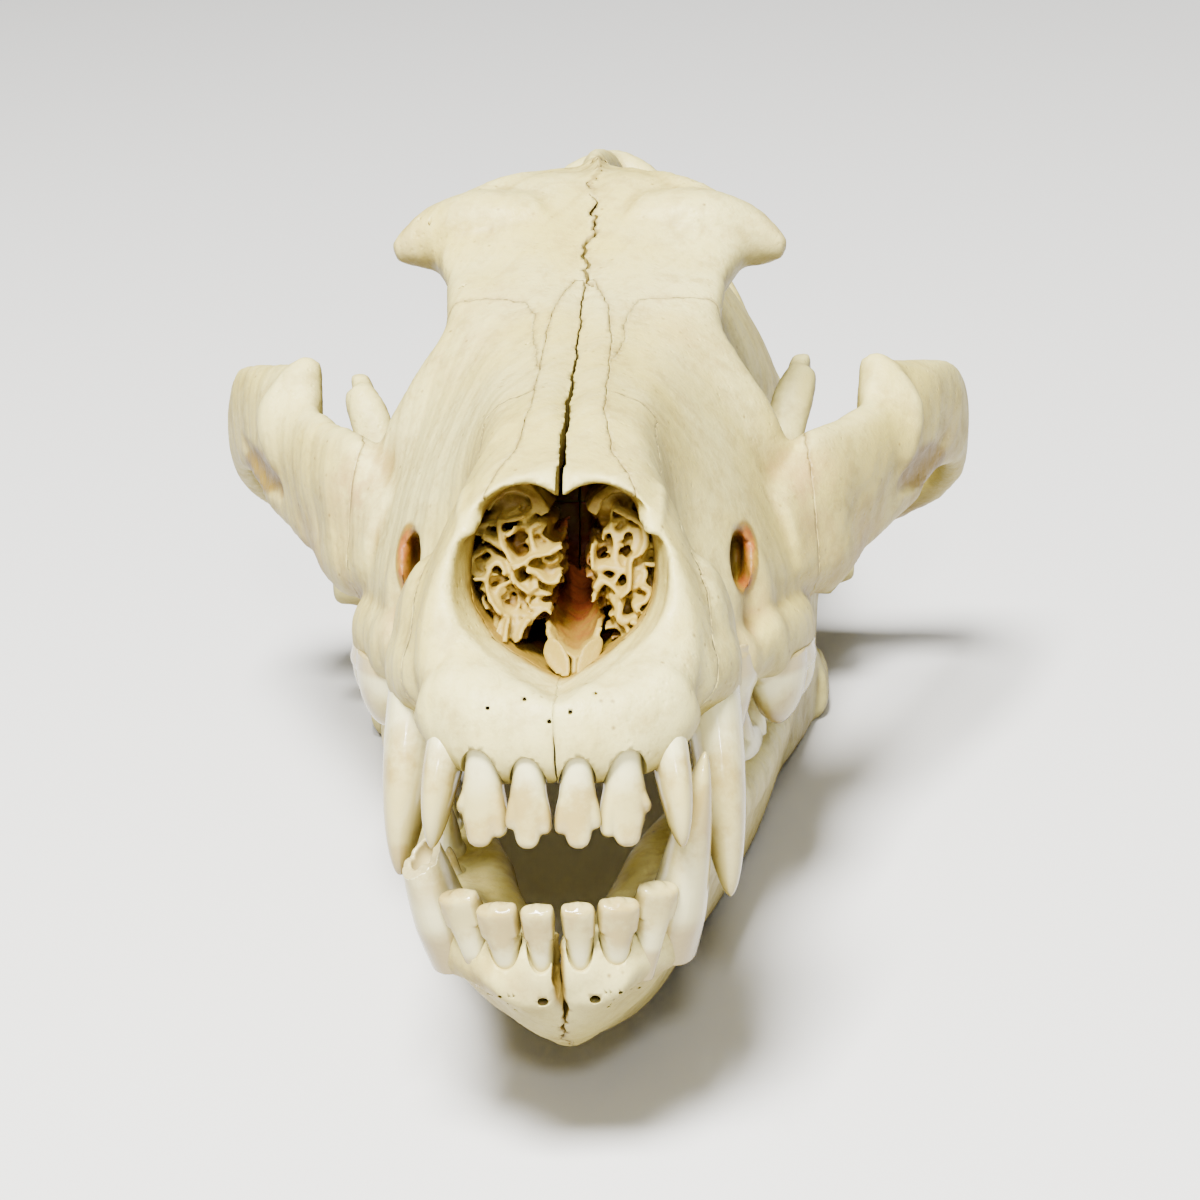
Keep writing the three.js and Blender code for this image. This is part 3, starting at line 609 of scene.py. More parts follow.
def relaxed(piece: Piece, rounds: int, share: np.ndarray | float = 0.5) -> np.ndarray:
    """Where a piece's vertices come to lie when each moves towards its neighbours' middle again and again.

    Args:
        piece: The object, which stays as it is.
        rounds: How often they move.
        share: How far they move each time, for all of them or for each.

    Returns:
        The points.
    """
    ends = np.empty(len(piece.data.edges) * 2, np.int32)
    piece.data.edges.foreach_get("vertices", ends)
    a, b = ends.reshape(-1, 2).T
    shape = places(piece)
    size = len(shape)
    count = np.maximum(np.bincount(a, minlength=size) + np.bincount(b, minlength=size), 1)
    for _ in range(rounds):
        near = [np.bincount(a, shape[b, i], size) + np.bincount(b, shape[a, i], size) for i in range(3)]
        shape = shape + (np.stack(near, axis=1) / count[:, None] - shape) * share
    return shape


def melt(piece: Piece, spots: Rows, rounds: int) -> None:
    """Softens a piece's skin in places on both sides.

    Args:
        piece: The object.
        spots: Rows of x, y, z and reach.
        rounds: How strongly.
    """
    points = to_left(places(piece))
    share = np.zeros(len(points))
    for x, y, z, reach in spots:
        share = np.maximum(share, 0.5 * np.exp(-np.sum((points - (x, y, z)) ** 2, axis=1) / reach**2))
    put(piece, relaxed(piece, rounds, share[:, None]))


def roughen(piece: Piece, size: float) -> None:
    """Gives a piece's skin the faint unevenness of bone, up to about a size in millimetres."""
    points = places(piece)
    put(piece, points + places(piece, "normal") * wander(points, size)[:, :1])


def hollowness(piece: Piece, rounds: int = 14) -> np.ndarray:
    """How hollow the skin is about each vertex: above 0 in a crease, below 0 on a ridge, in millimetres.

    Args:
        piece: The object.
        rounds: How far round it looks.

    Returns:
        One number for each vertex.
    """
    return np.einsum("ij,ij->i", relaxed(piece, rounds) - places(piece), places(piece, "normal"))


def seams(pieces: Sequence[Piece], reach: float) -> dict[str, np.ndarray]:
    """How near each piece's vertices are to another piece, as along a suture.

    Args:
        pieces: The objects.
        reach: How far off counts as near, in millimetres.

    Returns:
        For each piece's name a number for each vertex, 1 where they touch and 0 out of reach.
    """
    clouds = {piece.name: places(piece) for piece in pieces}
    found = {}
    for name, cloud in clouds.items():
        low, high = cloud.min(axis=0) - reach, cloud.max(axis=0) + reach
        others = np.vstack([c for other, c in clouds.items() if other != name])
        others = others[np.all((others > low) & (others < high), axis=1)]
        tree = KDTree(len(others))
        for number, point in enumerate(others):
            tree.insert(point, number)
        tree.balance()
        gaps = np.array([tree.find(point)[2] or 9.0 for point in cloud]) if len(others) else np.full(len(cloud), 9.0)
        found[name] = 1 - fade(gaps, 0.25 * reach, reach)
    return found


def record(piece: Piece, name: str, values: np.ndarray) -> None:
    """Stores one number for each vertex, for the piece's material to read."""
    layer = piece.data.attributes.get(name) or piece.data.attributes.new(name, "FLOAT", "POINT")
    layer.data.foreach_set("value", np.ascontiguousarray(values, np.float32))


# Finishes


class Nodes:
    """A material's node tree, built with short calls."""

    def __init__(self, name: str) -> None:
        """Starts a material.

        Args:
            name: Its name.
        """
        self.material = bpy.data.materials.new(name)
        self.material.use_nodes = True
        self.tree = self.material.node_tree
        self.shader = self.tree.nodes["Principled BSDF"]
        self.place = self.add("ShaderNodeTexCoord").outputs["Object"]

    def add(self, kind: str, **settings: object) -> bpy.types.Node:
        """Adds a node.

        Args:
            kind: Its type.
            settings: Its properties.

        Returns:
            The node.
        """
        node = self.tree.nodes.new(kind)
        for key, value in settings.items():
            setattr(node, key, value)
        return node

    def feed(self, socket: bpy.types.NodeSocket, value: object) -> None:
        """Links a socket to another one, or sets it to a value."""
        if isinstance(value, bpy.types.NodeSocket):
            self.tree.links.new(value, socket)
        else:
            socket.default_value = value

    def noise(self, scale: float, detail: float = 4.0, rough: float = 0.55, stretch: Point = (1, 1, 1)) -> object:
        """Cloudy noise.

        Args:
            scale: How many clouds there are in a metre.
            detail: How many finer layers it has.
            rough: How strong these are.
            stretch: How much finer it is along x, y and z.

        Returns:
            The socket of its strength, about 0.5 on average.
        """
        mapping = self.add("ShaderNodeMapping")
        self.feed(mapping.inputs["Vector"], self.place)
        mapping.inputs["Scale"].default_value = stretch
        node = self.add("ShaderNodeTexNoise")
        self.feed(node.inputs["Vector"], mapping.outputs["Vector"])
        node.inputs["Scale"].default_value = scale
        node.inputs["Detail"].default_value = detail
        node.inputs["Roughness"].default_value = rough
        return node.outputs["Fac"]

    def pits(self, scale: float) -> object:
        """Distance from the middles of scattered cells.

        Args:
            scale: How many cells there are in a metre.

        Returns:
            The socket of the distance.
        """
        node = self.add("ShaderNodeTexVoronoi")
        self.feed(node.inputs["Vector"], self.place)
        node.inputs["Scale"].default_value = scale
        return node.outputs["Distance"]

    def stored(self, name: str) -> object:
        """The socket of a number stored on the mesh."""
        return self.add("ShaderNodeAttribute", attribute_name=name).outputs["Fac"]

    def math(self, how: str, a: object, b: object = 0.0) -> object:
        """The socket of a sum, product or other combination of two values."""
        node = self.add("ShaderNodeMath", operation=how)
        self.feed(node.inputs[0], a)
        self.feed(node.inputs[1], b)
        return node.outputs[0]

    def times(self, a: object, b: object) -> object:
        """The socket of a product of two values."""
        return self.math("MULTIPLY", a, b)

    def glow(self, weight: float, radius: Point, scale: float) -> None:
        """Lets light pass a little way through the surface.

        Args:
            weight: How much of it does.
            radius: How far red, green and blue go, against each other.
            scale: How far that is, in metres.
        """
        for key, value in (("Weight", weight), ("Radius", radius), ("Scale", scale)):
            self.shader.inputs[f"Subsurface {key}"].default_value = value

    def ramp(self, value: object, low: float, high: float, start: float = 0.0, end: float = 1.0) -> object:
        """The socket of a value brought from one range to another, and kept inside it."""
        node = self.add("ShaderNodeMapRange", interpolation_type="SMOOTHSTEP")
        self.feed(node.inputs["Value"], value)
        for key, number in (("From Min", low), ("From Max", high), ("To Min", start), ("To Max", end)):
            node.inputs[key].default_value = number
        return node.outputs["Result"]

    def mix(self, share: object, below: object, above: object, how: str = "MIX") -> object:
        """Blends two colours.

        Args:
            share: How much of the second shows.
            below: The first colour.
            above: The second.
            how: The way they blend.

        Returns:
            The socket of the blend.
        """
        node = self.add("ShaderNodeMix", data_type="RGBA", blend_type=how)
        self.feed(node.inputs[0], share)
        self.feed(node.inputs[6], (*below, 1.0) if isinstance(below, tuple) else below)
        self.feed(node.inputs[7], (*above, 1.0) if isinstance(above, tuple) else above)
        return node.outputs[2]

    def bump(self, height: object, strength: float, distance: float, under: object = None) -> object:
        """A bumpy normal.

        Args:
            height: The socket of the height.
            strength: How strongly it shows.
            distance: How deep it is, in metres.
            under: The normal that it is laid on.

        Returns:
            The socket of the normal.
        """
        node = self.add("ShaderNodeBump")
        node.inputs["Strength"].default_value = strength
        node.inputs["Distance"].default_value = distance
        self.feed(node.inputs["Height"], height)
        if under is not None:
            self.feed(node.inputs["Normal"], under)
        return node.outputs["Normal"]


@dataclass(frozen=True)
class BoneFinish:
    """Dry bleached bone: ivory, greyer and browner in its creases as painted shade and grime, stained pinkish where
    muscle was and shaded pinkish in some hollows, with painted amber and deep red-brown shade in its holes and deep
    hollows, and painted shade on faces turned from the light.
    """

    name: str = "bleached_bone"
    ivory: tuple = (0.76, 0.64, 0.17)
    pale: tuple = (0.88, 0.80, 0.33)
    shade: tuple = (0.47, 0.36, 0.09)
    crease: tuple = (0.20, 0.105, 0.015)
    amber: tuple = (0.36, 0.225, 0.02)
    deep_shade: tuple = (0.32, 0.05, 0.006)
    pink_stain_and_shade: tuple = (0.52, 0.33, 0.12)
    painted_shade: tuple = (0.36, 0.325, 0.20)

    def build(self) -> bpy.types.Material:
        """Builds the material.

        Returns:
            The material.
        """
        n = Nodes(self.name)
        broad = n.noise(26.0, 5.0, 0.6)
        fine = n.noise(210.0, 6.0, 0.65)
        grain = n.noise(700.0, 5.0, 0.65, (1.0, 0.3, 1.0))
        colour = n.mix(n.ramp(broad, 0.36, 0.66), self.ivory, self.pale)
        colour = n.mix(n.times(n.ramp(fine, 0.44, 0.7), 0.55), colour, self.shade)
        colour = n.mix(n.times(n.ramp(grain, 0.52, 0.7), 0.28), colour, self.shade)
        hollow = n.stored("hollow")
        ridge = n.ramp(hollow, -0.35, -0.03, 0.5, 0.0)
        colour = n.mix(ridge, colour, self.pale)
        # Painted shade in the creases: they darken towards the shade colour, and the deeper ones, broken up by noise,
        # towards crease brown as grime and shade.
        colour = n.mix(n.times(n.ramp(hollow, 0.0, 0.26), 0.8), colour, self.shade)
        grime_and_shade = n.times(n.ramp(hollow, 0.1, 0.55), n.ramp(fine, 0.3, 0.6, 0.3, 1.0))
        colour = n.mix(n.times(grime_and_shade, 0.95), colour, self.crease)
        # Pinkish stains, partly painted shade in hollows.
        pink_stain_and_shade = n.times(n.stored("pink_stain_and_shade"), n.ramp(n.noise(120.0, 5.0, 0.65), 0.34, 0.6))
        colour = n.mix(pink_stain_and_shade, colour, self.pink_stain_and_shade)
        speck = n.times(n.ramp(n.pits(330.0), 0.0, 0.16, 1.0, 0.0), n.ramp(n.noise(45.0), 0.44, 0.56))
        colour = n.mix(n.times(speck, 0.75), colour, self.crease)
        seam = n.times(n.stored("seam"), n.ramp(n.noise(150.0, 4.0), 0.3, 0.65, 0.25, 1.0))
        colour = n.mix(n.times(seam, 0.5), colour, self.crease)
        # Painted shade in holes and hollows: amber, and deep red-brown where it is deepest.
        amber = n.stored("amber")
        colour = n.mix(n.ramp(amber, 0.0, 0.5), colour, self.amber)
        colour = n.mix(n.ramp(n.math("ADD", amber, n.ramp(fine, 0.3, 0.7, -0.1, 0.1)), 0.55, 1.0), colour, self.deep_shade)
        # Painted shade on the faces turned from the light.
        colour = n.mix(n.stored("painted_shade"), colour, self.painted_shade, "MULTIPLY")
        n.feed(n.shader.inputs["Base Color"], colour)
        n.feed(n.shader.inputs["Roughness"], n.ramp(fine, 0.3, 0.7, 0.4, 0.58))
        n.shader.inputs["Specular IOR Level"].default_value = 0.42
        n.glow(0.06, (1.0, 0.65, 0.3), 0.0012)
        pores = n.times(n.ramp(n.pits(620.0), 0.0, 0.3, 1.0, 0.0), n.ramp(n.noise(60.0), 0.46, 0.6))
        under = n.bump(n.math("SUBTRACT", n.ramp(n.noise(420.0, 5.0, 0.65), 0.2, 0.8), pores), 0.55, 0.00022)
        relief = n.bump(n.noise(95.0, 5.0, 0.6), 0.5, 0.0006, under)
        n.feed(n.shader.inputs["Normal"], relief)
        return n.material


@dataclass(frozen=True)
class ScrollFinish:
    """The thin bone inside the nose: pale yellow edges, with painted amber and deep red-brown shade deeper in and in
    its hollows.
    """

    name: str = "scroll_bone"
    edge: tuple = (0.44, 0.31, 0.045)
    amber: tuple = (0.22, 0.115, 0.006)
    deep_shade: tuple = (0.22, 0.04, 0.005)

    def build(self) -> bpy.types.Material:
        """Builds the material.

        Returns:
            The material.
        """
        n = Nodes(self.name)
        cloud = n.noise(420.0, 5.0, 0.62)
        # Painted shade: amber, then deep red-brown, the deeper behind the nose's opening; amber too in the leaves'
        # hollows.
        depth = n.math("ADD", n.stored("amber"), n.ramp(cloud, 0.3, 0.7, -0.12, 0.12))
        colour = n.mix(n.ramp(depth, 0.05, 0.5), self.edge, self.amber)
        colour = n.mix(n.ramp(depth, 0.5, 1.0), colour, self.deep_shade)
        colour = n.mix(n.times(n.ramp(n.stored("hollow"), 0.02, 0.4), 0.7), colour, self.amber)
        n.feed(n.shader.inputs["Base Color"], colour)
        n.shader.inputs["Roughness"].default_value = 0.55
        n.glow(0.1, (1.0, 0.6, 0.25), 0.0014)
        n.feed(n.shader.inputs["Normal"], n.bump(n.noise(1100.0, 4.0), 0.5, 0.00025))
        return n.material


@dataclass(frozen=True)
class EnamelFinish:
    """Glossy tooth enamel, browner at the neck and in patches of the crown, with painted shade in its creases and on
    faces turned from the light.
    """

    name: str = "enamel"
    white: tuple = (0.96, 0.91, 0.50)
    cream: tuple = (0.74, 0.64, 0.25)
    brown: tuple = (0.44, 0.28, 0.05)
    painted_shade: tuple = (0.38, 0.335, 0.19)

    def build(self) -> bpy.types.Material:
        """Builds the material.

        Returns:
            The material.
        """
        n = Nodes(self.name)
        cloud = n.noise(150.0, 5.0, 0.6)
        fine = n.noise(700.0, 4.0, 0.6)
        crown = n.stored("crown")
        colour = n.mix(n.ramp(n.math("ADD", crown, n.times(cloud, 0.4)), 0.35, 0.75), self.white, self.cream)
        patch = n.times(n.ramp(cloud, 0.44, 0.64), n.ramp(crown, 0.12, 0.4))
        colour = n.mix(n.times(patch, 0.55), colour, self.brown)
        neck = n.times(n.ramp(crown, -0.05, 0.1, 1.0, 0.0), 0.65)
        colour = n.mix(neck, colour, self.brown)
        # Painted shade in the creases.
        crease = n.times(n.ramp(n.stored("hollow"), 0.02, 0.28), 0.75)
        colour = n.mix(crease, colour, self.brown)
        # Painted shade on the faces turned from the light.
        colour = n.mix(n.stored("painted_shade"), colour, self.painted_shade, "MULTIPLY")
        n.feed(n.shader.inputs["Base Color"], colour)
        n.feed(n.shader.inputs["Roughness"], n.ramp(fine, 0.3, 0.7, 0.12, 0.24))
        n.shader.inputs["Specular IOR Level"].default_value = 0.75
        n.glow(0.08, (1.0, 0.9, 0.6), 0.0012)
        n.feed(n.shader.inputs["Normal"], n.bump(n.noise(260.0, 4.0, 0.6, (1.0, 1.0, 0.3)), 0.25, 0.0003))
        return n.material


@dataclass(frozen=True)
class FloorFinish:
    """The plain pale floor."""

    name: str = "pale_floor"
    colour: tuple = (0.82, 0.82, 0.81)
    paler: tuple = (0.84, 0.84, 0.83)

    def build(self) -> bpy.types.Material:
        """Builds the material.

        Returns:
            The material.
        """
        n = Nodes(self.name)
        n.feed(n.shader.inputs["Base Color"], n.mix(n.noise(3.0, 2.0), self.colour, self.paler))
        n.shader.inputs["Roughness"].default_value = 0.9
        return n.material


@dataclass
class Wardrobe:
    """The finishes, each built once."""

    bone: bpy.types.Material
    scroll: bpy.types.Material
    enamel: bpy.types.Material

    @classmethod
    def open(cls) -> "Wardrobe":
        """Builds every finish of the skull."""
        return cls(BoneFinish().build(), ScrollFinish().build(), EnamelFinish().build())


def hand_over(piece: Piece, frame: Frame, material: bpy.types.Material, nodes: Sequence[str] = ()) -> None:
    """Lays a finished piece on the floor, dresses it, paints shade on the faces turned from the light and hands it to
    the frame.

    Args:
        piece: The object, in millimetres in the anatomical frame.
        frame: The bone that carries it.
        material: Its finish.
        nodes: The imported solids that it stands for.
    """
    piece.data.transform(frame.pose)
    points = places(piece)
    points[:, 2] = np.maximum(points[:, 2], FLOOR_GAP)
    put(piece, points)
    piece.data.materials.clear()
    piece.data.materials.append(material)
    piece.data.polygons.foreach_set("material_index", [0] * len(piece.data.polygons))
    piece.data.polygons.foreach_set("use_smooth", [True] * len(piece.data.polygons))
    piece.data.update()
    # Painted shade: faces turned from the light are darkened, stored for the finishes to multiply in.
    facing = places(piece, "normal") @ np.array(LIGHT_SIDE)
    record(piece, "painted_shade", 1 - fade(facing, SHADE_FULL, SHADE_ENDS))
    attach(piece, "root")
    if nodes:
        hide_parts(*nodes)
    log.info("%s: %d faces", piece.name, len(piece.data.polygons))


# Sutures

# How closely the cutting tools' points stand: along a suture, from level to level, and on the midline's sheet.
SUTURE_STEP, LEVEL_STEP, MIDLINE_STEP = 0.9, 1.2, 0.7
# How far the midline's tool reaches to the far side, and from where to where a bone of both sides reaches.
FAR_SIDE = 80.0
WHOLE_WIDTH = (-60.0, 60.0)


@dataclass(frozen=True)
class Region:
    """The space that a bone takes out of the head, bounded by its sutures."""

    outline: Rows
    plane: Plane
    low: float
    high: float
    rough: float = 0.6
    gap: float = 0.05

    def grown(self, margin: float) -> np.ndarray:
        """The outline grown by a margin all round."""
        points = np.asarray(self.outline, float)
        ahead = np.roll(points, -1, axis=0) - points
        turning = np.sum(points[:, 0] * np.roll(points[:, 1], -1) - np.roll(points[:, 0], -1) * points[:, 1])
        ahead /= np.linalg.norm(ahead, axis=1, keepdims=True)
        into = np.roll(ahead, 1, axis=0)
        reach = math.copysign(margin, turning) / (1 + np.sum(into * ahead, axis=1))
        both = into + ahead
        return points + np.column_stack([both[:, 1], -both[:, 0]]) * reach[:, None]

    def tool(self, margin: float) -> Piece:
        """The region as a cutting tool.

        Args:
            margin: How much larger it is made.

        Returns:
            The object.
        """
        corners = self.grown(margin)
        ring = []
        for start, end in zip(corners, np.roll(corners, -1, axis=0)):
            count = max(1, round(float(np.linalg.norm(end - start)) / SUTURE_STEP))
            ring.append(start + (end - start) * np.linspace(0, 1, count, endpoint=False)[:, None])
        flat = np.vstack(ring)
        count = max(2, round((self.high - self.low) / LEVEL_STEP))
        levels = np.linspace(self.low - margin, self.high + margin, count)
        rings = np.stack([self.plane.lift(flat, level) for level in levels])
        strayed = wander(rings.reshape(-1, 3), self.rough).reshape(rings.shape)
        strayed[[0, -1]] = 0
        clay = Clay()
        clay.skin(rings + strayed)
        return clay.to_piece("region")


def thicken(mesh: bmesh.types.BMesh, sheet: Sequence[bmesh.types.BMVert]) -> list[bmesh.types.BMVert]:
    """Gives a flat sheet a second side, at first on top of the first.

    Args:
        mesh: The mesh that holds it.
        sheet: Its vertices.

    Returns:
        The second side's vertices, to be moved away.
    """
    faces = list({face for vert in sheet for face in vert.link_faces})
    pulled = bmesh.ops.extrude_face_region(mesh, geom=faces)["geom"]
    return [part for part in pulled if isinstance(part, bmesh.types.BMVert)]


def half_space(side: Side, gap: Callable[[np.ndarray, np.ndarray], np.ndarray], span: Rows, rough: float) -> Piece:
    """A tool that cuts away what lies beyond the midline.

    Args:
        side: The side that is kept.
        gap: Gives how far the cut keeps off the midline at each y and z.
        span: The lowest and the highest y and z.
        rough: How far the cut strays.

    Returns:
        The object.
    """
    low, high = np.asarray(span, float)
    counts = [max(2, round(float(d) / MIDLINE_STEP)) for d in high - low]
    clay = Clay()
    made = bmesh.ops.create_grid(clay.mesh, x_segments=counts[0], y_segments=counts[1], size=1)
    middle, half = (low + high) / 2, (high - low) / 2
    flat = np.array([vert.co[:2] for vert in made["verts"]]) * half + middle
    points = np.column_stack([np.zeros(len(flat)), flat])
    stray = wander(points, rough)[:, 0]
    x = stray + side.value * gap(points[:, 1], points[:, 2])
    for vert, (y, z), across in zip(made["verts"], flat, x):
        vert.co = (across, y, z)
    for vert in thicken(clay.mesh, made["verts"]):
        vert.co.x = -FAR_SIDE * side.value
    return clay.to_piece("half_space")


# Teeth

# The facets of a tooth's skin: fine on one whose length times width is below SMALL_TOOTH.
SMALL_TOOTH = 90.0
FINE_VOXEL, COARSE_VOXEL = 0.22, 0.3


@dataclass(frozen=True)
class Cusp:
    """A cusp of a crown, in shares of the tooth's length, width and height."""

    foot: Point
    tip: Point
    half: Point
    power: float = 1.6

    def add(self, clay: Clay, tooth: "Tooth") -> None:
        """Adds the cusp to a tooth's clay.

        Args:
            clay: Where it is added.
            tooth: The tooth whose size it follows.
        """
        scale = np.array([tooth.length, tooth.width, tooth.height])
        foot, tip = np.array((*self.foot, 0.0)) * scale, np.array(self.tip) * scale
        shares = np.sin(np.linspace(math.asin(max(-0.9, -tooth.root / tip[2])), math.pi / 2, 30))
        out = np.maximum(shares, 0)
        size = np.maximum((1 - out**self.power) ** 0.58 * (1 - 0.16 * out), 0.03)
        size = np.where(shares < 0, 1 + 0.12 * shares, size)
        middle = foot + (tip - foot) * shares[:, None]
        middle[:, 1] -= tooth.bow * 4 * shares * (1 - shares)
        u, v = circle(28)
        ring = np.column_stack([u * self.half[0] * scale[0], v * self.half[1] * scale[1], 0 * u])
        clay.skin(middle[:, None] + ring[None] * size[:, None, None])


class Crown(Enum):
    """The forms of a wolf's teeth; a value is the crown's cusps, or what it has instead of them."""

    INCISOR = "three lobes"
    PEG = "a notched edge"
    FANG = (Cusp((0, 0), (0, 0, 1), (0.5, 0.5), 3.0),)
    SLIM_FANG = (Cusp((0, 0), (0, 0, 1), (0.5, 0.5), 1.35),)
    PREMOLAR = (
        Cusp((0, 0), (-0.07, 0, 1), (0.44, 0.44), 1.25),
        Cusp((0.26, 0), (0.3, 0, 0.5), (0.18, 0.36), 1.6),
        Cusp((0, 0), (0, 0, 0.34), (0.5, 0.5), 3.0),
    )
    CARNASSIAL = (
        Cusp((-0.12, -0.05), (-0.13, -0.05, 1), (0.33, 0.44), 2.6),
        Cusp((0.25, 0.02), (0.28, 0.05, 0.82), (0.24, 0.36), 3.0),
        Cusp((-0.36, 0.42), (-0.37, 0.5, 0.4), (0.13, 0.3), 2.0),
        Cusp((0, 0), (0, 0, 0.3), (0.5, 0.46), 3.0),
    )
    MOLAR = (
        Cusp((-0.23, -0.3), (-0.23, -0.3, 1), (0.26, 0.2), 1.7),
        Cusp((0.22, -0.3), (0.22, -0.3, 0.85), (0.26, 0.2), 1.7),
        Cusp((0, 0.18), (0, 0.26, 0.55), (0.4, 0.32), 3.0),
        Cusp((0, 0), (0, 0, 0.38), (0.48, 0.48), 4.0),
    )
    LOWER_CARNASSIAL = (
        Cusp((-0.28, 0), (-0.31, 0, 0.74), (0.2, 0.42), 1.5),
        Cusp((-0.02, 0), (-0.05, 0, 1), (0.22, 0.46), 1.5),
        Cusp((0.33, 0), (0.34, -0.1, 0.48), (0.16, 0.44), 2.6),
        Cusp((0, 0), (0, 0, 0.34), (0.5, 0.5), 3.0),
    )


@dataclass(frozen=True)
class Tooth:
    """One tooth of the left side, in its own frame: x along the row, y inwards and z out of the gum."""

    name: str
    kind: Crown
    at: Point
    length: float
    width: float
    height: float
    turn: float = 0.0
    tilt: float = 0.0
    splay: float = 0.0
    bow: float = 0.0
    lobes: Point = (0.84, 0.8)
    root: float = 5.0
    bare: float = 2.2

    def incisor(self, clay: Clay) -> None:
        """Adds a three-lobed crown on a narrow neck."""
        w, t, h = self.length, self.width, self.height
        middle = (
            (-self.root / h, 0.27, 0.36, 0), (0, 0.325, 0.42, 0), (0.26, 0.355, 0.42, 0), (0.5, 0.41, 0.36, 0.05),
            (0.7, 0.37, 0.28, 0.1), (0.84, 0.285, 0.21, 0.15), (0.93, 0.235, 0.15, 0.19), (0.975, 0.18, 0.11, 0.2),
            (1.0, 0.09, 0.05, 0.2),
        )
        clay.column([(z * h, a * w, b * t, 0, -y * t) for z, a, b, y in middle], 32, 0.85)
        for sign, end in zip((-1, 1), self.lobes):
            lobe = (
                (0.24, 0.1, 0.24, 0.16, 0), (0.48, 0.16, 0.3, 0.26, 0.03),
                (min(0.68, end - 0.09), 0.165, 0.24, 0.33, 0.08), (end - 0.05, 0.14, 0.17, 0.35, 0.1),
                (end - 0.01, 0.1, 0.12, 0.345, 0.11), (end, 0.05, 0.06, 0.34, 0.11),
            )
            clay.column([(z * h, a * w, b * t, sign * x * w, -y * t) for z, a, b, x, y in lobe], 24, 0.9)

    def peg(self, clay: Clay) -> None:
        """Adds a worn crown that widens to a faintly notched edge."""
        w, t, h = self.length, self.width, self.height
        middle = (
            (-self.root / h, 0.25, 0.36, 0), (0, 0.3, 0.42, 0), (0.3, 0.35, 0.42, 0), (0.6, 0.43, 0.37, 0.03),
            (0.84, 0.46, 0.31, 0.08), (0.93, 0.43, 0.26, 0.1), (0.96, 0.37, 0.2, 0.1),
        )
        clay.column([(z * h, a * w, b * t, 0, -y * t) for z, a, b, y in middle], 32, 0.85)
        for x, end, a in ((-0.3, self.lobes[0], 0.15), (0.0, 1.0, 0.17), (0.31, self.lobes[1], 0.15)):
            lobe = ((0.5, a * 0.8, 0.24), (end - 0.1, a, 0.24), (end - 0.03, a * 0.85, 0.18), (end, a * 0.45, 0.08))
            clay.column([(z * h, k * w, b * t, x * w, -0.09 * t) for z, k, b in lobe], 20)

    def pose(self, jaw: int) -> Matrix:
        """Where the left tooth stands.

        Args:
            jaw: -1 for the upper jaw and 1 for the lower.
        """
        spin = Euler([math.radians(a) for a in (self.tilt, self.splay, self.turn)], "XYZ").to_matrix().to_4x4()
        return Matrix.Translation(Vector(self.at)) @ spin @ Matrix.Diagonal((1, 1, jaw, 1))

    def build(self, side: Side, matrix: Matrix) -> Piece:
        """Models the tooth.

        Args:
            side: The side that it is for.
            matrix: Where it stands.

        Returns:
            The object, in the anatomical frame.
        """
        clay = Clay()
        if self.kind is Crown.INCISOR:
            self.incisor(clay)
        elif self.kind is Crown.PEG:
            self.peg(clay)
        else:
            for cusp in self.kind.value:
                cusp.add(clay, self)
        voxel = FINE_VOXEL if self.length * self.width < SMALL_TOOTH else COARSE_VOXEL
        piece = clay.fused(f"{self.name}_{side.word}", voxel, 3)
        height = places(piece)[:, 2] / self.height
        record(piece, "hollow", hollowness(piece, 8))
        record(piece, "crown", height)
        piece.data.transform(matrix)
        if matrix.determinant() < 0:
            piece.data.flip_normals()
        return piece


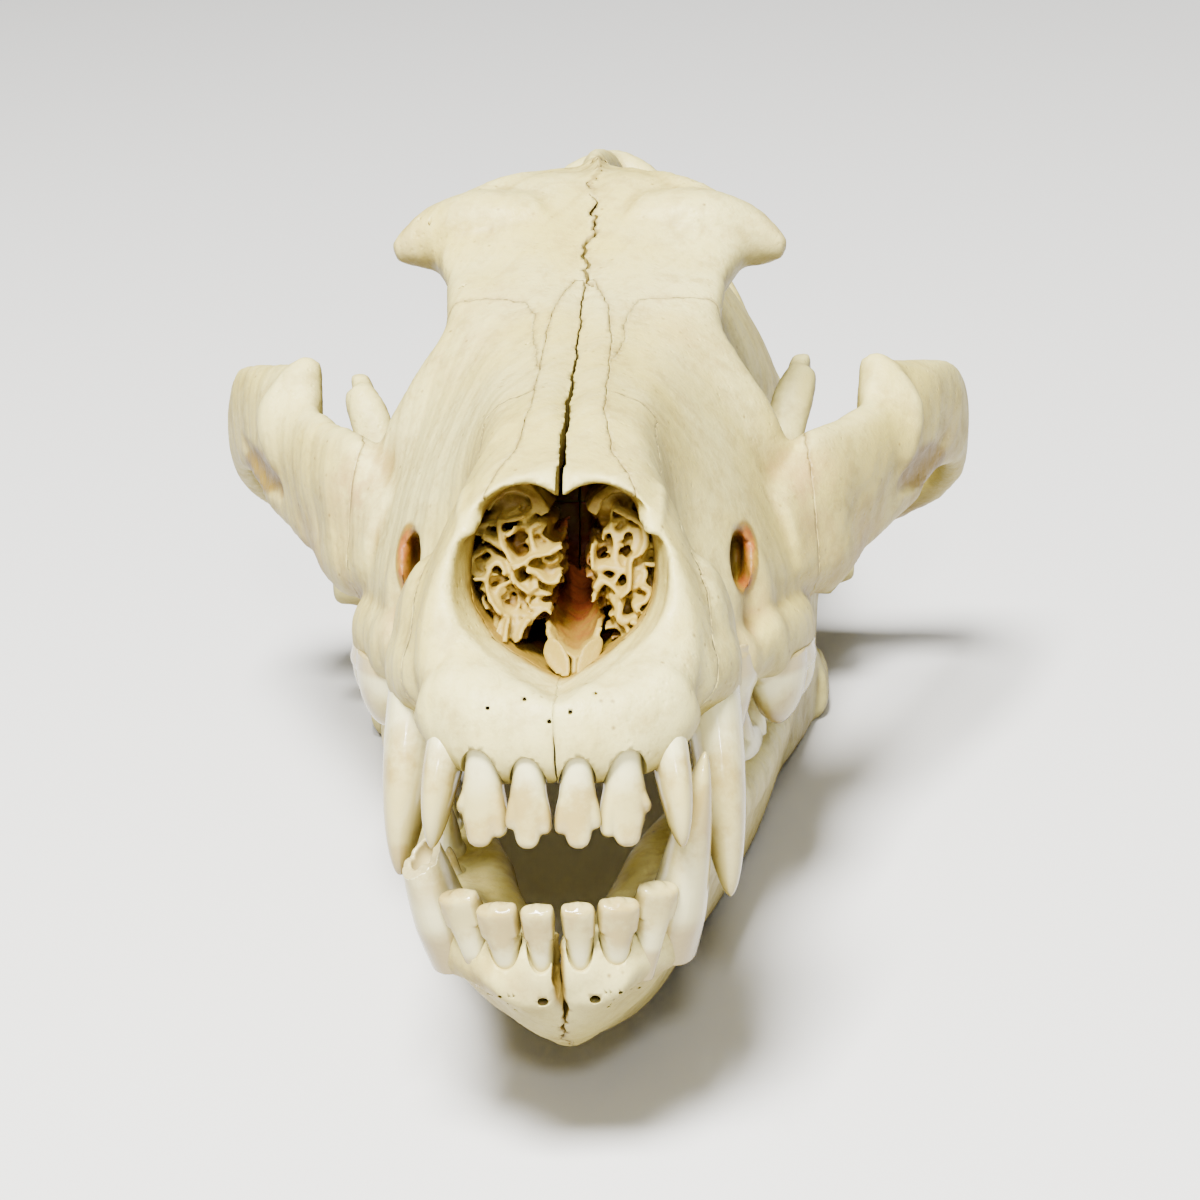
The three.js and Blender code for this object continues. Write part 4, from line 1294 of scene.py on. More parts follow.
@dataclass
class ToothRow:
    """The teeth of one jaw, on both sides."""

    teeth: Sequence[Tooth]
    jaw: int
    frame: Frame
    shift: float = 0.0
    worn: dict[str, float] = field(default_factory=dict)
    broken: dict[str, float] = field(default_factory=dict)

    def place(self, tooth: Tooth, side: Side) -> Matrix:
        """Where a tooth stands on one side; the front ones stand a little off the middle."""
        off = self.shift if tooth.kind in (Crown.INCISOR, Crown.PEG) else 0.0
        return Matrix.Translation((off, 0, 0)) @ side.flip @ tooth.pose(self.jaw)

    def sockets(self) -> Piece:
        """The sockets' rims as one cutting tool."""
        clay = Clay()
        for side in Side:
            for tooth in self.teeth:
                clay.pose = self.place(tooth, side)
                if tooth.kind in (Crown.INCISOR, Crown.PEG):
                    clay.ball((0, -1.5, 4.7), (0.42 * tooth.length, 0.5 * tooth.width + 3, 4.8), sides=32)
                else:
                    size = (0.5 * tooth.length + 0.3, 0.5 * tooth.width + 0.4, tooth.bare + 0.5)
                    clay.ball((0, 0, tooth.bare), size)
        return clay.fused("sockets", 0.3, 1)

    def build(self, wardrobe: Wardrobe) -> None:
        """Builds the teeth and hands them over.

        Args:
            wardrobe: The finishes.
        """
        for side in Side:
            for tooth in self.teeth:
                name = f"{tooth.name}_{side.word}"
                tooth = replace(tooth, height=tooth.height * self.worn.get(name, 1.0))
                piece = tooth.build(side, self.place(tooth, side))
                if name in self.broken:
                    self.snap(piece, tooth, side, self.broken[name])
                hand_over(piece, self.frame, wardrobe.enamel)

    def snap(self, piece: Piece, tooth: Tooth, side: Side, share: float) -> None:
        """Breaks a tooth's tip off and leaves its pulp cavity open.

        Args:
            piece: The tooth.
            tooth: Its sizes.
            side: Its side.
            share: How much of its height is left.
        """
        clay = Clay(self.place(tooth, side))
        level = tooth.height * share
        clay.ball((0, 0, level - 1.2), (0.24 * tooth.length, 0.26 * tooth.width, 3.2))
        made = bmesh.ops.create_grid(clay.mesh, x_segments=40, y_segments=40, size=12)["verts"]
        top = set(thicken(clay.mesh, made))
        flat = np.array([vert.co for vert in made])
        rough = wander(flat, 0.9)[:, 0]
        for vert, (x, _, _), stray in zip(made, flat, rough):
            vert.co.z = level - 0.22 * x + stray
        for vert in top:
            vert.co.z = level + 30
        for vert in {*made, *top}:
            vert.co = clay.pose @ vert.co
        combine(piece, clay.fused("break", 0.25, 0), "DIFFERENCE")


UPPER_TEETH = (
    Tooth("upper_incisor_1", Crown.INCISOR, (3.25, 4.1, 0.2), 6.4, 6.5, 12.6, 4, -6, lobes=(0.85, 0.8)),
    Tooth("upper_incisor_2", Crown.INCISOR, (9.35, 5.9, 1.2), 7.2, 7.0, 13.7, 16, -5, lobes=(0.9, 0.68)),
    Tooth("upper_incisor_3", Crown.FANG, (14.4, 11.2, 3.3), 5.6, 9, 17.4, 14, -20.7, -4.6, 1.2),
    Tooth("upper_canine", Crown.FANG, (20.8, 31, 6.5), 8.2, 13.6, 31, 6, -16.2, -3.6, 1.4, root=7, bare=4.5),
    Tooth("upper_premolar_1", Crown.PREMOLAR, (19, 40, 1), 7.5, 5, 6, 88),
    Tooth("upper_premolar_2", Crown.PREMOLAR, (20, 52, 1), 13.5, 5.6, 8.5, 84),
    Tooth("upper_premolar_3", Crown.PREMOLAR, (24.4, 68.5, 2.2), 15.5, 6.6, 11, 74, bare=3.2),
    Tooth("upper_carnassial", Crown.CARNASSIAL, (31.8, 89, 1.2), 24, 9.6, 9.2, 69, 0, -5, root=2.6, bare=1.6),
    Tooth("upper_molar_1", Crown.MOLAR, (28.9, 107, 1), 12.5, 16.2, 7.5, 97, root=2.6, bare=1.6),
    Tooth("upper_molar_2", Crown.MOLAR, (27.5, 119, 3), 7.5, 12, 6, 100, root=2.6, bare=1.6),
)
LOWER_TEETH = (
    Tooth("lower_incisor_1", Crown.PEG, (2.6, 8.8, -17.3), 5.2, 5.5, 9.9, 3, 20, lobes=(0.98, 0.94)),
    Tooth("lower_incisor_2", Crown.PEG, (7.3, 9.8, -16.9), 6.5, 6, 9.6, 12, 20, 3, lobes=(0.98, 0.9)),
    Tooth("lower_incisor_3", Crown.PEG, (11.7, 12.2, -16.1), 6.6, 6.5, 10.0, 24, 18, 6, lobes=(0.97, 0.86)),
    Tooth("lower_canine", Crown.SLIM_FANG, (16.4, 17.8, -13), 8.2, 12, 24.8, 4, 12.8, 11.2, 1.2, root=7),
    Tooth("lower_premolar_1", Crown.PREMOLAR, (16.8, 37, -12.5), 5.5, 4.2, 5, 86),
    Tooth("lower_premolar_2", Crown.PREMOLAR, (17.6, 48, -11.5), 11.5, 5, 8, 84),
    Tooth("lower_premolar_3", Crown.PREMOLAR, (19.4, 62, -11), 13.5, 5.6, 9, 80),
    Tooth("lower_premolar_4", Crown.PREMOLAR, (22, 77.5, -10.5), 15.5, 6.2, 10, 78),
    Tooth("lower_carnassial", Crown.LOWER_CARNASSIAL, (25, 98, -9.5), 27, 8.2, 13.5, 78, 0, -4),
    Tooth("lower_molar_2", Crown.MOLAR, (29.4, 117.5, -8), 11.5, 7.4, 6, 79),
    Tooth("lower_molar_3", Crown.MOLAR, (32, 127, -6.5), 5.5, 5, 4, 80),
)


# The head

JAW_CONDYLE: Rows = (
    (25.2, 180, 6, 3.0, 3.0), (31, 180, 6, 4.8, 4.8), (39, 180, 6, 5.2, 5.2), (48.3, 180, 6, 3.6, 3.6),
)


@dataclass
class Head:
    """The cranium, modelled whole and parted along its sutures."""

    # the size of the facets of its skin
    skin: float = 0.75
    # y, lean, top, brow half width and height, waist the same, cheek the same, floor
    sections: Rows = (
        (5, 0.55, 37, 9, 35, 17, 23, 18.5, 9, 1),
        (14, 0.46, 38.8, 11, 36.5, 18.8, 23, 21, 9, 1),
        (26, 0.32, 41, 11.6, 38, 19, 23, 22, 8, 1),
        (42, 0.12, 44, 11, 41, 17.5, 24, 20, 7, 2),
        (58, 0, 46.2, 11.5, 43.2, 18.5, 24, 21.5, 7, 3),
        (68, 0, 48, 12, 45, 22.5, 25, 25, 8, 3.5),
        (78, 0, 50, 13, 46.5, 26, 27, 28.5, 8, 4),
        (94, 0, 54.5, 16, 50.5, 29.5, 31, 33.5, 9, 5),
        (106, 0, 59, 20, 55, 32, 38, 35.5, 10, 5),
        (114, 0, 62.5, 22, 58.5, 18, 38, 34, 7, 5),
        (122, 0, 66.5, 22.6, 61, 14, 40, 33, 7, 6),
        (130, 0, 71.5, 25, 65, 13.5, 42, 27, 8, 8),
        (138, 0, 76.5, 27.5, 68.5, 15, 45, 12.5, 14, 10),
        (147, 0, 80.5, 25, 71.5, 17.5, 48, 12, 17, 12),
        (158, 0, 81, 16.5, 70, 20, 47, 14, 19, 13),
        (170, 0, 79, 14.5, 69, 24.5, 44, 19, 19, 13),
        (186, 0, 77, 17.5, 65.5, 31.5, 39, 27, 18, 12),
        (205, 0, 76, 18.5, 64.5, 34, 37, 31, 18, 11),
        (222, 0, 74, 17.5, 62, 33, 36, 32, 20, 13),
        (233, 0, 70, 15, 57, 26, 36, 23, 23, 17),
        (238, 0, 64, 12, 53, 19, 38, 16, 27, 22),
    )
    # y, lean, half width, lowest and highest of the nasal passage
    passage: Rows = (
        (-14, 0.55, 16.0, 7.4, 37.0),
        (4, 0.55, 15.6, 7.6, 36.6),
        (9, 0.52, 14.4, 8.1, 36.2),
        (14, 0.47, 13.2, 8.6, 36.4),
        (22, 0.36, 13.0, 8.7, 37.4),
        (48, 0, 13.0, 8.5, 40.8),
        (76, 0, 12.0, 13, 44.3),
        (90, 0, 9, 19, 44),
    )
    passage_shift: float = 0.2
    # how far the nasal bones' middle hangs into the passage
    lip: float = 3.4
    # x, y, z, half width and half height along the cheek arch
    arch: Rows = (
        (29, 97, 20, 7, 9.5),
        (36.6, 106, 23, 6, 12.6),
        (44, 118, 26.4, 4.8, 11.6),
        (51.5, 132, 31.5, 3.9, 10.6),
        (58.5, 148, 36.5, 3.3, 10),
        (63.3, 163, 35.5, 3.2, 8.8),
        (63.2, 175, 29.5, 3.5, 7),
        (57.5, 184.5, 22.5, 5.2, 5.6),
        (46, 186, 18.5, 8.6, 5.8),
        (28, 188, 20, 9.5, 7),
    )
    # y and z round the crest in profile
    crest: Rows = (
        (148, 74), (154, 79.6), (160, 82.2), (168, 83.4), (180, 84), (205, 84.2), (232, 84.6), (244, 84), (249, 81),
        (247.5, 74), (240, 64), (225, 60), (180, 62), (158, 64),
    )
    # x, y, z, half width and half height along the ridge of the nape
    nuchal: Rows = (
        (0, 246, 81.5, 3.4, 3.2),
        (8, 244, 77.8, 3.4, 3.4),
        (16, 239.5, 66.6, 3.6, 3.6),
        (23.2, 233.5, 53.4, 3.6, 4),
        (30, 227, 38.4, 4, 4.4),
        (34, 221.5, 23.5, 5, 5.4),
    )
    # x and z round the left half of the occiput's plate
    occiput: Rows = (
        (0, 81.5), (9, 76), (16.5, 65.5), (24, 52.5), (30.5, 38), (32.5, 28), (25, 18), (0, 15),
    )
    # x and y along the left edges of the nasal and the frontal bones
    nasal_edge: Rows = (
        (13.4, 8), (12.6, 20), (9.6, 27), (6.8, 36), (5.4, 50), (5.3, 75), (5.1, 92), (4.2, 103), (2.8, 111),
        (1.4, 115.5),
    )
    frontal_edge: Rows = (
        (5.2, 74), (6.8, 87), (7.6, 101), (9.2, 107), (17.6, 110.5), (23, 112.5), (50, 112.5), (50, 160),
    )
    strokes: Sequence[Stroke] = (
        Stroke(((0, 150, 81), (0, 128, 70), (0, 114, 62)), 6, -1.5),
        Stroke(((0, 24, 40), (0, 60, 47), (0, 108, 60)), 1.7, -0.9),
        Stroke(((5.5, 28, 42), (4.6, 60, 46), (4.2, 98, 57)), 3.2, 0.6),
        Stroke(((17, 48, 26), (18.5, 60, 26)), 9, -1.4),
        Stroke(((20.5, 27, 4), (20.6, 35, 13), (17.5, 46, 21)), 5.5, 1.5),
        Stroke(((31.5, 110, 36), (24, 114, 50), (23, 120, 60)), 3.4, 0.9),
        Stroke(((23.4, 63, 27), (23.6, 60, 17), (24.6, 62, 8)), 1.8, 0.9),
        Stroke(((26.6, 63, 13), (27.4, 64, 4)), 2.4, -1.5),
        Stroke(((29.6, 76, 20), (30, 78, 8), (31, 80, 1)), 3, 0.8),
        Stroke(((44, 112, 22), (46, 118, 20), (50, 128, 27)), 5.5, -1.6),
        Stroke(((37, 105, 35), (43, 118, 36), (48, 130, 42)), 2.6, 1.0),
        Stroke(((39.5, 107, 10), (47, 122, 12.5), (55, 138, 23)), 2.4, 0.9),
        Stroke(((31, 80, 16), (35, 95, 15)), 6, 0.6),
        Stroke(((18, 132, 73),), 8, 0.7),
        Stroke(((35, 98, 31), (37.5, 101, 22)), 6, -1.6),
        Stroke(((27.5, 73, 14), (27.5, 71, 9)), 3.2, -1.2),
        Stroke(((26, 175, 55), (29, 200, 52)), 12, 0.8),
        Stroke(((3.6, 2.5, 2), (3.6, 6, 8)), 2.3, 0.45),
        Stroke(((9.7, 4, 2), (9.5, 8, 9)), 2.5, 0.55),
        Stroke(((15.2, 8.5, 4), (14.4, 13, 12)), 2.8, 0.7),
        Stroke(((12.4, 7, 3), (12.2, 11, 10)), 2.0, -0.5),
        Stroke(((6.6, 3.5, 2), (6.6, 7, 8)), 1.8, -0.4),
        Stroke(((18.2, 14, 4), (17.5, 17, 12)), 2.4, -0.8),
    )
    front_holes: Rows = ((-0.6, 1.0, 5.2), (-4, 1.6, 8), (5.6, 1.8, 8.6), (-9, 3.2, 6.8), (2.2, 1.0, 6.4))
    top_holes: Rows = ((-29, 136, 72), (-27, 134, 71), (24, 137, 73), (-20, 116, 60), (12, 120, 66), (-8, 90, 53))
    # the middle, the radii and the strength of each patch of painted amber shade, in holes and hollows
    amber_spots: Sequence[tuple[Point, Point, float]] = (
        ((26, 73, 19.6), (2.4, 13, 6.0), 0.78),
        ((58, 138.5, 28.6), (8.5, 15, 4.4), 0.42),
        ((52, 184, 20), (12, 5, 9), 0.25),
        ((0, 160, 8), (10, 30, 12), 0.4),
        ((0, 225, 34), (11, 20, 10), 0.8),
    )
    # the middle, the reach and the strength of each pinkish stain; those in the hollow under the eye's foramen and at
    # the cheek arch's root are painted shade
    pink_stain_and_shade_spots: Sequence[tuple[Point, float, float]] = (
        ((20, 100, 52), 7, 0.35), ((43, 118, 17), 9, 0.7), ((36, 100, 28), 8, 0.75), ((27.5, 73, 11), 5, 0.7),
        ((52, 134, 24), 8, 0.45), ((37, 106, 12), 8, 0.5), ((30, 139, 68), 5, 0.35), ((28, 66, 8), 6, 0.4),
        ((14, 108, 56), 7, 0.25), ((60, 150, 30), 8, 0.35),
    )

    def core(self, clay: Clay) -> None:
        """Adds the smooth body from the snout to the back of the braincase."""
        stations = np.linspace(5, 238, 118)
        rows = read_table(self.sections, stations)
        rings = []
        for y, (lean, top, brow, brow_z, waist, waist_z, cheek, cheek_z, floor) in zip(stations, rows):
            half = [
                (0, top),
                (brow * 0.55, top + (brow_z - top) * 0.3),
                (brow, brow_z),
                (waist, waist_z),
                (cheek, cheek_z),
                (cheek * 0.72, floor),
                (0, floor + 0.5),
            ]
            rings.append(smooth_curve([(x, y + lean * z, z) for x, z in both_sides(half, 1)], 96, closed=True))
        clay.skin(rings)

    def features(self, clay: Clay) -> None:
        """Adds every form that stands out of the body, on the left, and the middle ones whole."""
        ridge = [(0, 6.8, 3.0, 6.7, 7.0), (9.4, 8.8, 3.6, 6.7, 7.2), (15, 13.4, 8.2, 6.6, 6.4)]
        clay.bar(mirror_path(ridge[1:]) + ridge, square=0.75)
        clay.slab(self.crest, -1.1, 1.1, Plane.PROFILE)
        clay.bar([(0, 168, 80, 2.4, 3), (0, 205, 79, 3.6, 5), (0, 236, 78, 3.6, 5)])
        clay.bar(mirror_path(self.nuchal[1:]) + list(self.nuchal), upright=(0, 1, 0))
        temporal = [
            (33.2, 138.4, 66.4, 1.5, 1.3), (29.5, 138, 70, 1.9, 1.5), (23, 140.6, 73.4, 2.3, 1.7),
            (15.7, 146.5, 77, 2.6, 1.8), (8, 157, 78.6, 2.6, 1.6), (1.5, 168, 79.6, 2.2, 1.4),
        ]
        clay.bar([
            (0.2, 138, 76.4, 1.2, 0.8), (0.8, 146, 79.6, 1.1, 1.1), (1.2, 151, 81.2, 0.8, 1.3),
            (0.6, 160, 81.6, 1, 1.4),
        ])
        for side in Side:
            clay.bar([(x * side.value, *rest) for x, *rest in temporal])
        self.back_wall(clay)

    def back_wall(self, clay: Clay) -> None:
        """Adds the plate of the occiput."""
        rings = []
        for y, share in ((208, 0.9), (226, 0.99), (233, 1.0), (238, 0.9)):
            half = [(x * share, 46 + (z - 46) * share) for x, z in self.occiput]
            outline = [(x, y + (z - 40) * 0.15, z) for x, z in both_sides(half, 1)]
            rings.append(smooth_curve(outline, 64, closed=True))
        clay.skin(rings)

    def flanks(self, clay: Clay) -> None:
        """Adds the forms that each side has."""
        clay.bar([
            (16.5, 18, 9, 5, 5), (19.2, 29, 9.4, 5.6, 6), (18, 43, 6, 4, 5), (20.6, 59, 4, 4.2, 5),
            (25.8, 76, 5.4, 5, 5.6), (31, 93, 5.8, 6, 6.2), (30.8, 107, 6, 6.2, 6), (29, 121, 6.6, 5.6, 5.4),
            (27, 129, 8.5, 3, 3),
        ])
        clay.ball((19, 31, 14), (4.8, 8.8, 10.6), (-24, 0, 0))
        clay.bar([
            (10, 143, 71, 12, 5.5), (21, 140.6, 69.6, 9.6, 6.4), (28.4, 139.2, 67.6, 6, 4.8), (33.6, 138.2, 66, 2, 1.8),
        ])
        clay.bar(self.arch, square=0.85)
        clay.bar([
            (52, 128, 28, 3, 2.4), (51.2, 130.5, 38, 6.4, 3.4), (49.4, 133, 44.2, 4.2, 3), (47.4, 135, 48, 2, 1.7),
        ], (0, 1, 0))
        clay.bar([
            (49.5, 133.5, 44.2, 3.4, 3), (55, 145, 43.4, 3, 3.6), (60.4, 157, 42, 2.7, 3), (64, 168, 36, 2.4, 2.6),
        ])
        clay.bar([(43, 190.5, 15, 8, 3.4), (41.5, 190.6, 7, 6, 2.6), (40.5, 189.8, 0.6, 2.6, 1.5)], (0, 1, 0))
        clay.ball((21.5, 206, 6.5), (10.5, 14, 10.5), (0, 0, 14))
        clay.bar([(29, 207, 12, 4.5, 4), (34.5, 206, 14, 3.6, 3.6)])
        clay.ball((13.2, 238.5, 24), (7.4, 7, 9.5), (-20, -32, -20))
        clay.ball((33.5, 221, 22), (5.5, 8.5, 11), (0, -12, 0))
        clay.bar([(28, 224, 20, 7, 5.4), (28.5, 227, 7, 4.6, 3.4), (28.5, 227.5, -3.2, 2, 1.8)], (0, 1, 0))
        clay.slab([
            (128, 20), (128, 5), (136, 3.5), (150, 5.5), (160, 5), (167, 1), (169.5, 3), (167, 11), (165, 20),
        ], 9.4, 12.2, Plane.PROFILE)

    def passage_tool(self) -> Clay:
        """The nasal passage, heart-shaped where the nasal bones overhang it.

        Returns:
            The clay that holds it.
        """
        stations = np.linspace(self.passage[0][0], self.passage[-1][0], 60)
        rings = []
        for y, (lean, wide, low, high) in zip(stations, read_table(self.passage, stations)):
            u, v = circle(96)
            full, tall = circle(96, 0.84)
            narrow = u * (1 - 0.66 * np.abs(v) ** 3)
            x = np.where(v > 0, full, narrow) * wide
            z = (low + high) / 2 + np.where(v > 0, tall, v) * ((high - low) / 2)
            z -= self.lip * np.exp(-np.abs(x) / 3.0) * (v > 0)
            rings.append(np.column_stack([x + self.passage_shift, y + lean * z, z]))
        clay = Clay()
        clay.skin(rings)
        return clay

    def hollows(self) -> Piece:
        """Everything that is hollow in the head, as one cutting tool."""
        clay = self.passage_tool()
        clay.ball((0, 152, 6), (8.6, 26, 13))
        clay.ball((0, 242, 34.5), (10.5, 22, 9), (8, 0, 0))
        clay.ball((0, 76, -4.5), (20, 60, 9))
        for side in Side:
            clay.pose = side.flip
            clay.ball((25.7, 68, 20.2), (1.75, 15, 5.2), (-6, 0, 5))
            clay.ball((36, 205.5, 14.5), (6, 3, 2.6))
            clay.bar([
                (53.6, 124, 24.6, 1.2, 2), (56.6, 131, 26.6, 2.6, 3.4), (60.4, 140, 29.4, 2.8, 3.8),
                (63.6, 150, 33.4, 1.4, 2.4),
            ])
            clay.ball((16, 146, 22), (7, 2.4, 2), (0, 0, 40))
            clay.ball((18, 155, 20), (7, 2.2, 2), (0, 0, 40))
            clay.ball((24, 118, 34), (4, 7, 3), (0, 0, 30))
            clay.ball((5.2, 24, 1), (2, 4.6, 3))
            clay.pose = opened_jaw() @ side.flip
            clay.bar(JAW_CONDYLE, square=1)
        return clay.fused("hollows", 0.8, 2)

    def crack_line(self) -> np.ndarray:
        """The jagged line of the forehead's crack."""
        line = smooth_curve(((0.9, 171, 82), (1.0, 150, 80), (0.6, 130, 70.6), (0.2, 113, 61.6)), 60)
        line[:, 0] += 1.6 * wander(line, 0.8)[:, 0]
        return line

    def cracks(self) -> Piece:
        """The open crack of the forehead and the small vessel holes of the front, as one cutting tool."""
        clay = Clay()
        clay.bar([(x, y, z - 1.9, 0.34, 2.1) for x, y, z in self.crack_line()], sides=8, square=1)
        for at in self.front_holes:
            clay.ball(at, (0.32, 2.2, 0.3), sides=12)
        for at in self.top_holes:
            clay.ball(at, (0.35, 0.4, 2.2), sides=12)
        return clay.to_piece("cracks")

    def tips(self) -> Piece:
        """The front corners of the nasal bones, which overhang the nose's opening at its sides."""
        clay = Clay()
        for side in Side:
            clay.pose = side.flip
            clay.bar([
                (12.6, 33, 33.5, 2.4, 1.6), (12.8, 27.5, 31.6, 2.2, 1.4), (12.9, 23, 29.4, 1.7, 1.0),
                (12.9, 21.2, 28.2, 0.6, 0.5),
            ])
        return clay.fused("tips", 0.5, 2)

    def mass(self) -> Piece:
        """The whole cranium in one skin, hollowed and sculpted."""
        clay = Clay()
        self.core(clay)
        self.features(clay)
        for side in Side:
            clay.pose = side.flip
            self.flanks(clay)
        head = clay.fused("head", self.skin, 7)
        melt(head, ((0, 4, 9.5, 8), (8, 7, 10, 8), (15, 12, 13, 7), (48, 128, 36, 10), (55, 145, 38, 8)), 60)
        combine(head, self.hollows(), "DIFFERENCE")
        combine(head, self.tips(), "UNION")
        refine(head, self.skin, 2)
        sculpt(head, self.strokes)
        roughen(head, 0.16)
        combine(head, self.cracks(), "DIFFERENCE")
        return head

    def regions(self) -> list[tuple[str, Region]]:
        """The bones' regions, in the order in which they are taken out."""
        arch = ((39, 131), (36, 114), (36, 104), (40, 95), (90, 95), (90, 205), (49, 205), (49, 182), (43, 160))
        fore = ((-14, -30), (17.5, -30), (17.5, 4), (20, 14), (31, 28), (60, 42), (60, 70), (-14, 70))
        cheek = ((10, -40), (131, -40), (131, 17), (113, 24), (111, 36), (113, 80), (10, 80))
        nasal, frontal = both_sides(self.nasal_edge), both_sides(self.frontal_edge)
        return [
            ("zygomatic_arch_left", Region(arch, Plane.PLAN, 10, 70)),
            ("zygomatic_arch_right", Region([(-x, y) for x, y in arch], Plane.PLAN, 10, 70)),
            ("nasal", Region(nasal, Plane.PLAN, 27, 100, 0.22, 0.13)),
            ("premaxilla", Region(fore, Plane.PROFILE, *WHOLE_WIDTH)),
            ("frontal", Region(frontal, Plane.PLAN, 20, 110, 0.4)),
            ("maxilla", Region(cheek, Plane.PROFILE, *WHOLE_WIDTH)),
        ]

    def orbit_wall(self, margin: float) -> Piece:
        """How far down and back the frontal bone reaches, as a cutting tool."""
        reach = ((70, 46), (70, 110), (160, 110), (159, 74), (152, 52), (146, 34), (111, 34), (108, 46))
        return Region(reach, Plane.PROFILE, *WHOLE_WIDTH).tool(margin)

    def part(self, head: Piece) -> dict[str, Piece]:
        """Parts the head into its bones.

        Args:
            head: The whole head, which becomes the braincase.

        Returns:
            The bones by name.
        """
        bones = {}
        for name, region in self.regions():
            share = copy_of(head, f"{name}_bone")
            for piece, margin, how in ((share, 0.0, "INTERSECT"), (head, region.gap, "DIFFERENCE")):
                tool = region.tool(margin)
                if name == "frontal":
                    combine(tool, self.orbit_wall(margin), "INTERSECT")
                combine(piece, tool, how)
            bones[name] = share
        for name, spread, span in (
            ("nasal", lambda y, z: 0.16 + 0.4 * fade(y, 100, 20), ((-5, 20), (125, 75))),
            ("premaxilla", lambda y, z: 0.02 + 0.12 * fade(z, 5, 0), ((-15, -20), (75, 60))),
            ("maxilla", lambda y, z: 0.08 + 0 * y, ((0, -20), (140, 80))),
        ):
            whole = bones.pop(name)
            for side in Side:
                half = copy_of(whole, f"{name}_{side.word}_bone")
                bones[f"{name}_{side.word}"] = combine(half, half_space(side, spread, span, 0.3), "DIFFERENCE")
            discard(whole)
        head.name = "braincase_bone"
        bones["braincase"] = head
        return bones

    def stains_and_shade(self, points: np.ndarray, normals: np.ndarray) -> tuple[np.ndarray, np.ndarray]:
        """How much painted amber shade, and how much pinkish stain and painted shade, the bone has at each point.

        Args:
            points: Rows of x, y and z.
            normals: The directions that the skin faces there.

        Returns:
            Both as numbers from 0 to 1.
        """
        x, y, z = points.T
        along = y - 0.5 * z
        size = read_table([(row[0], *row[2:]) for row in self.passage], along)
        middle = (size[:, 1] + size[:, 2]) / 2
        off_x = x - self.passage_shift
        radius = np.hypot(off_x / size[:, 0], (z - middle) / ((size[:, 2] - size[:, 1]) / 2))
        inwards = -(normals[:, 0] * off_x + normals[:, 2] * (z - middle)) / (np.hypot(off_x, z - middle) + 1e-6)
        # Painted shade inside the nasal passage: amber, deeper the further back it goes, and sooner under its roof.
        inside = (1 - fade(radius, 1.06, 1.16)) * fade(inwards, -0.3, 0.1) * (y < 100)
        depth = y - 11 - (z - 9) * 0.55
        roof = fade(z, 26, 32)
        amber = inside * (0.5 * fade(depth, 3 - 2.4 * roof, 8 - 4 * roof) + 0.42 * fade(depth, 14, 32))
        side = np.abs(x)
        for (cx, cy, cz), (rx, ry, rz), strength in self.amber_spots:
            near = np.sqrt(((side - cx) / rx) ** 2 + ((y - cy) / ry) ** 2 + ((z - cz) / rz) ** 2)
            amber = np.maximum(amber, strength * (1 - fade(near, 0.75, 1.1)))
        pink_stain_and_shade = np.zeros(len(points))
        for (cx, cy, cz), reach, strength in self.pink_stain_and_shade_spots:
            near = ((side - cx) ** 2 + (y - cy) ** 2 + (z - cz) ** 2) / reach**2
            pink_stain_and_shade = np.maximum(pink_stain_and_shade, strength * np.exp(-near))
        return amber, pink_stain_and_shade

    def build(self, wardrobe: Wardrobe, teeth: "ToothRow") -> None:
        """Builds the head's bones and hands them over.

        Args:
            wardrobe: The finishes.
            teeth: The upper teeth, whose sockets are cut.
        """
        head = self.mass()
        combine(head, teeth.sockets(), "DIFFERENCE")
        bones = self.part(head)
        for piece in bones.values():
            keep_largest(piece)
        near = seams(list(bones.values()), 0.7)
        for name, piece in bones.items():
            x, y, z = places(piece).T
            line = self.crack_line()[::-1]
            beside = np.abs(x - np.interp(y, line[:, 1], line[:, 0]))
            split = (1 - fade(beside, 0.35, 0.75)) * (y > 113) * (y < 172) * (z > 58)
            near_midline = name.startswith("premaxilla") * (np.abs(x) < 1) * fade(z, 2, 5)
            record(piece, "seam", np.maximum(near[piece.name] * (1 - near_midline), 1.3 * split))
            record(piece, "hollow", hollowness(piece))
            amber, pink_stain_and_shade = self.stains_and_shade(places(piece), places(piece, "normal"))
            record(piece, "amber", amber)
            record(piece, "pink_stain_and_shade", pink_stain_and_shade)
            hand_over(piece, Frame.HEAD, wardrobe.bone, [name])


# The scrolls inside the nose


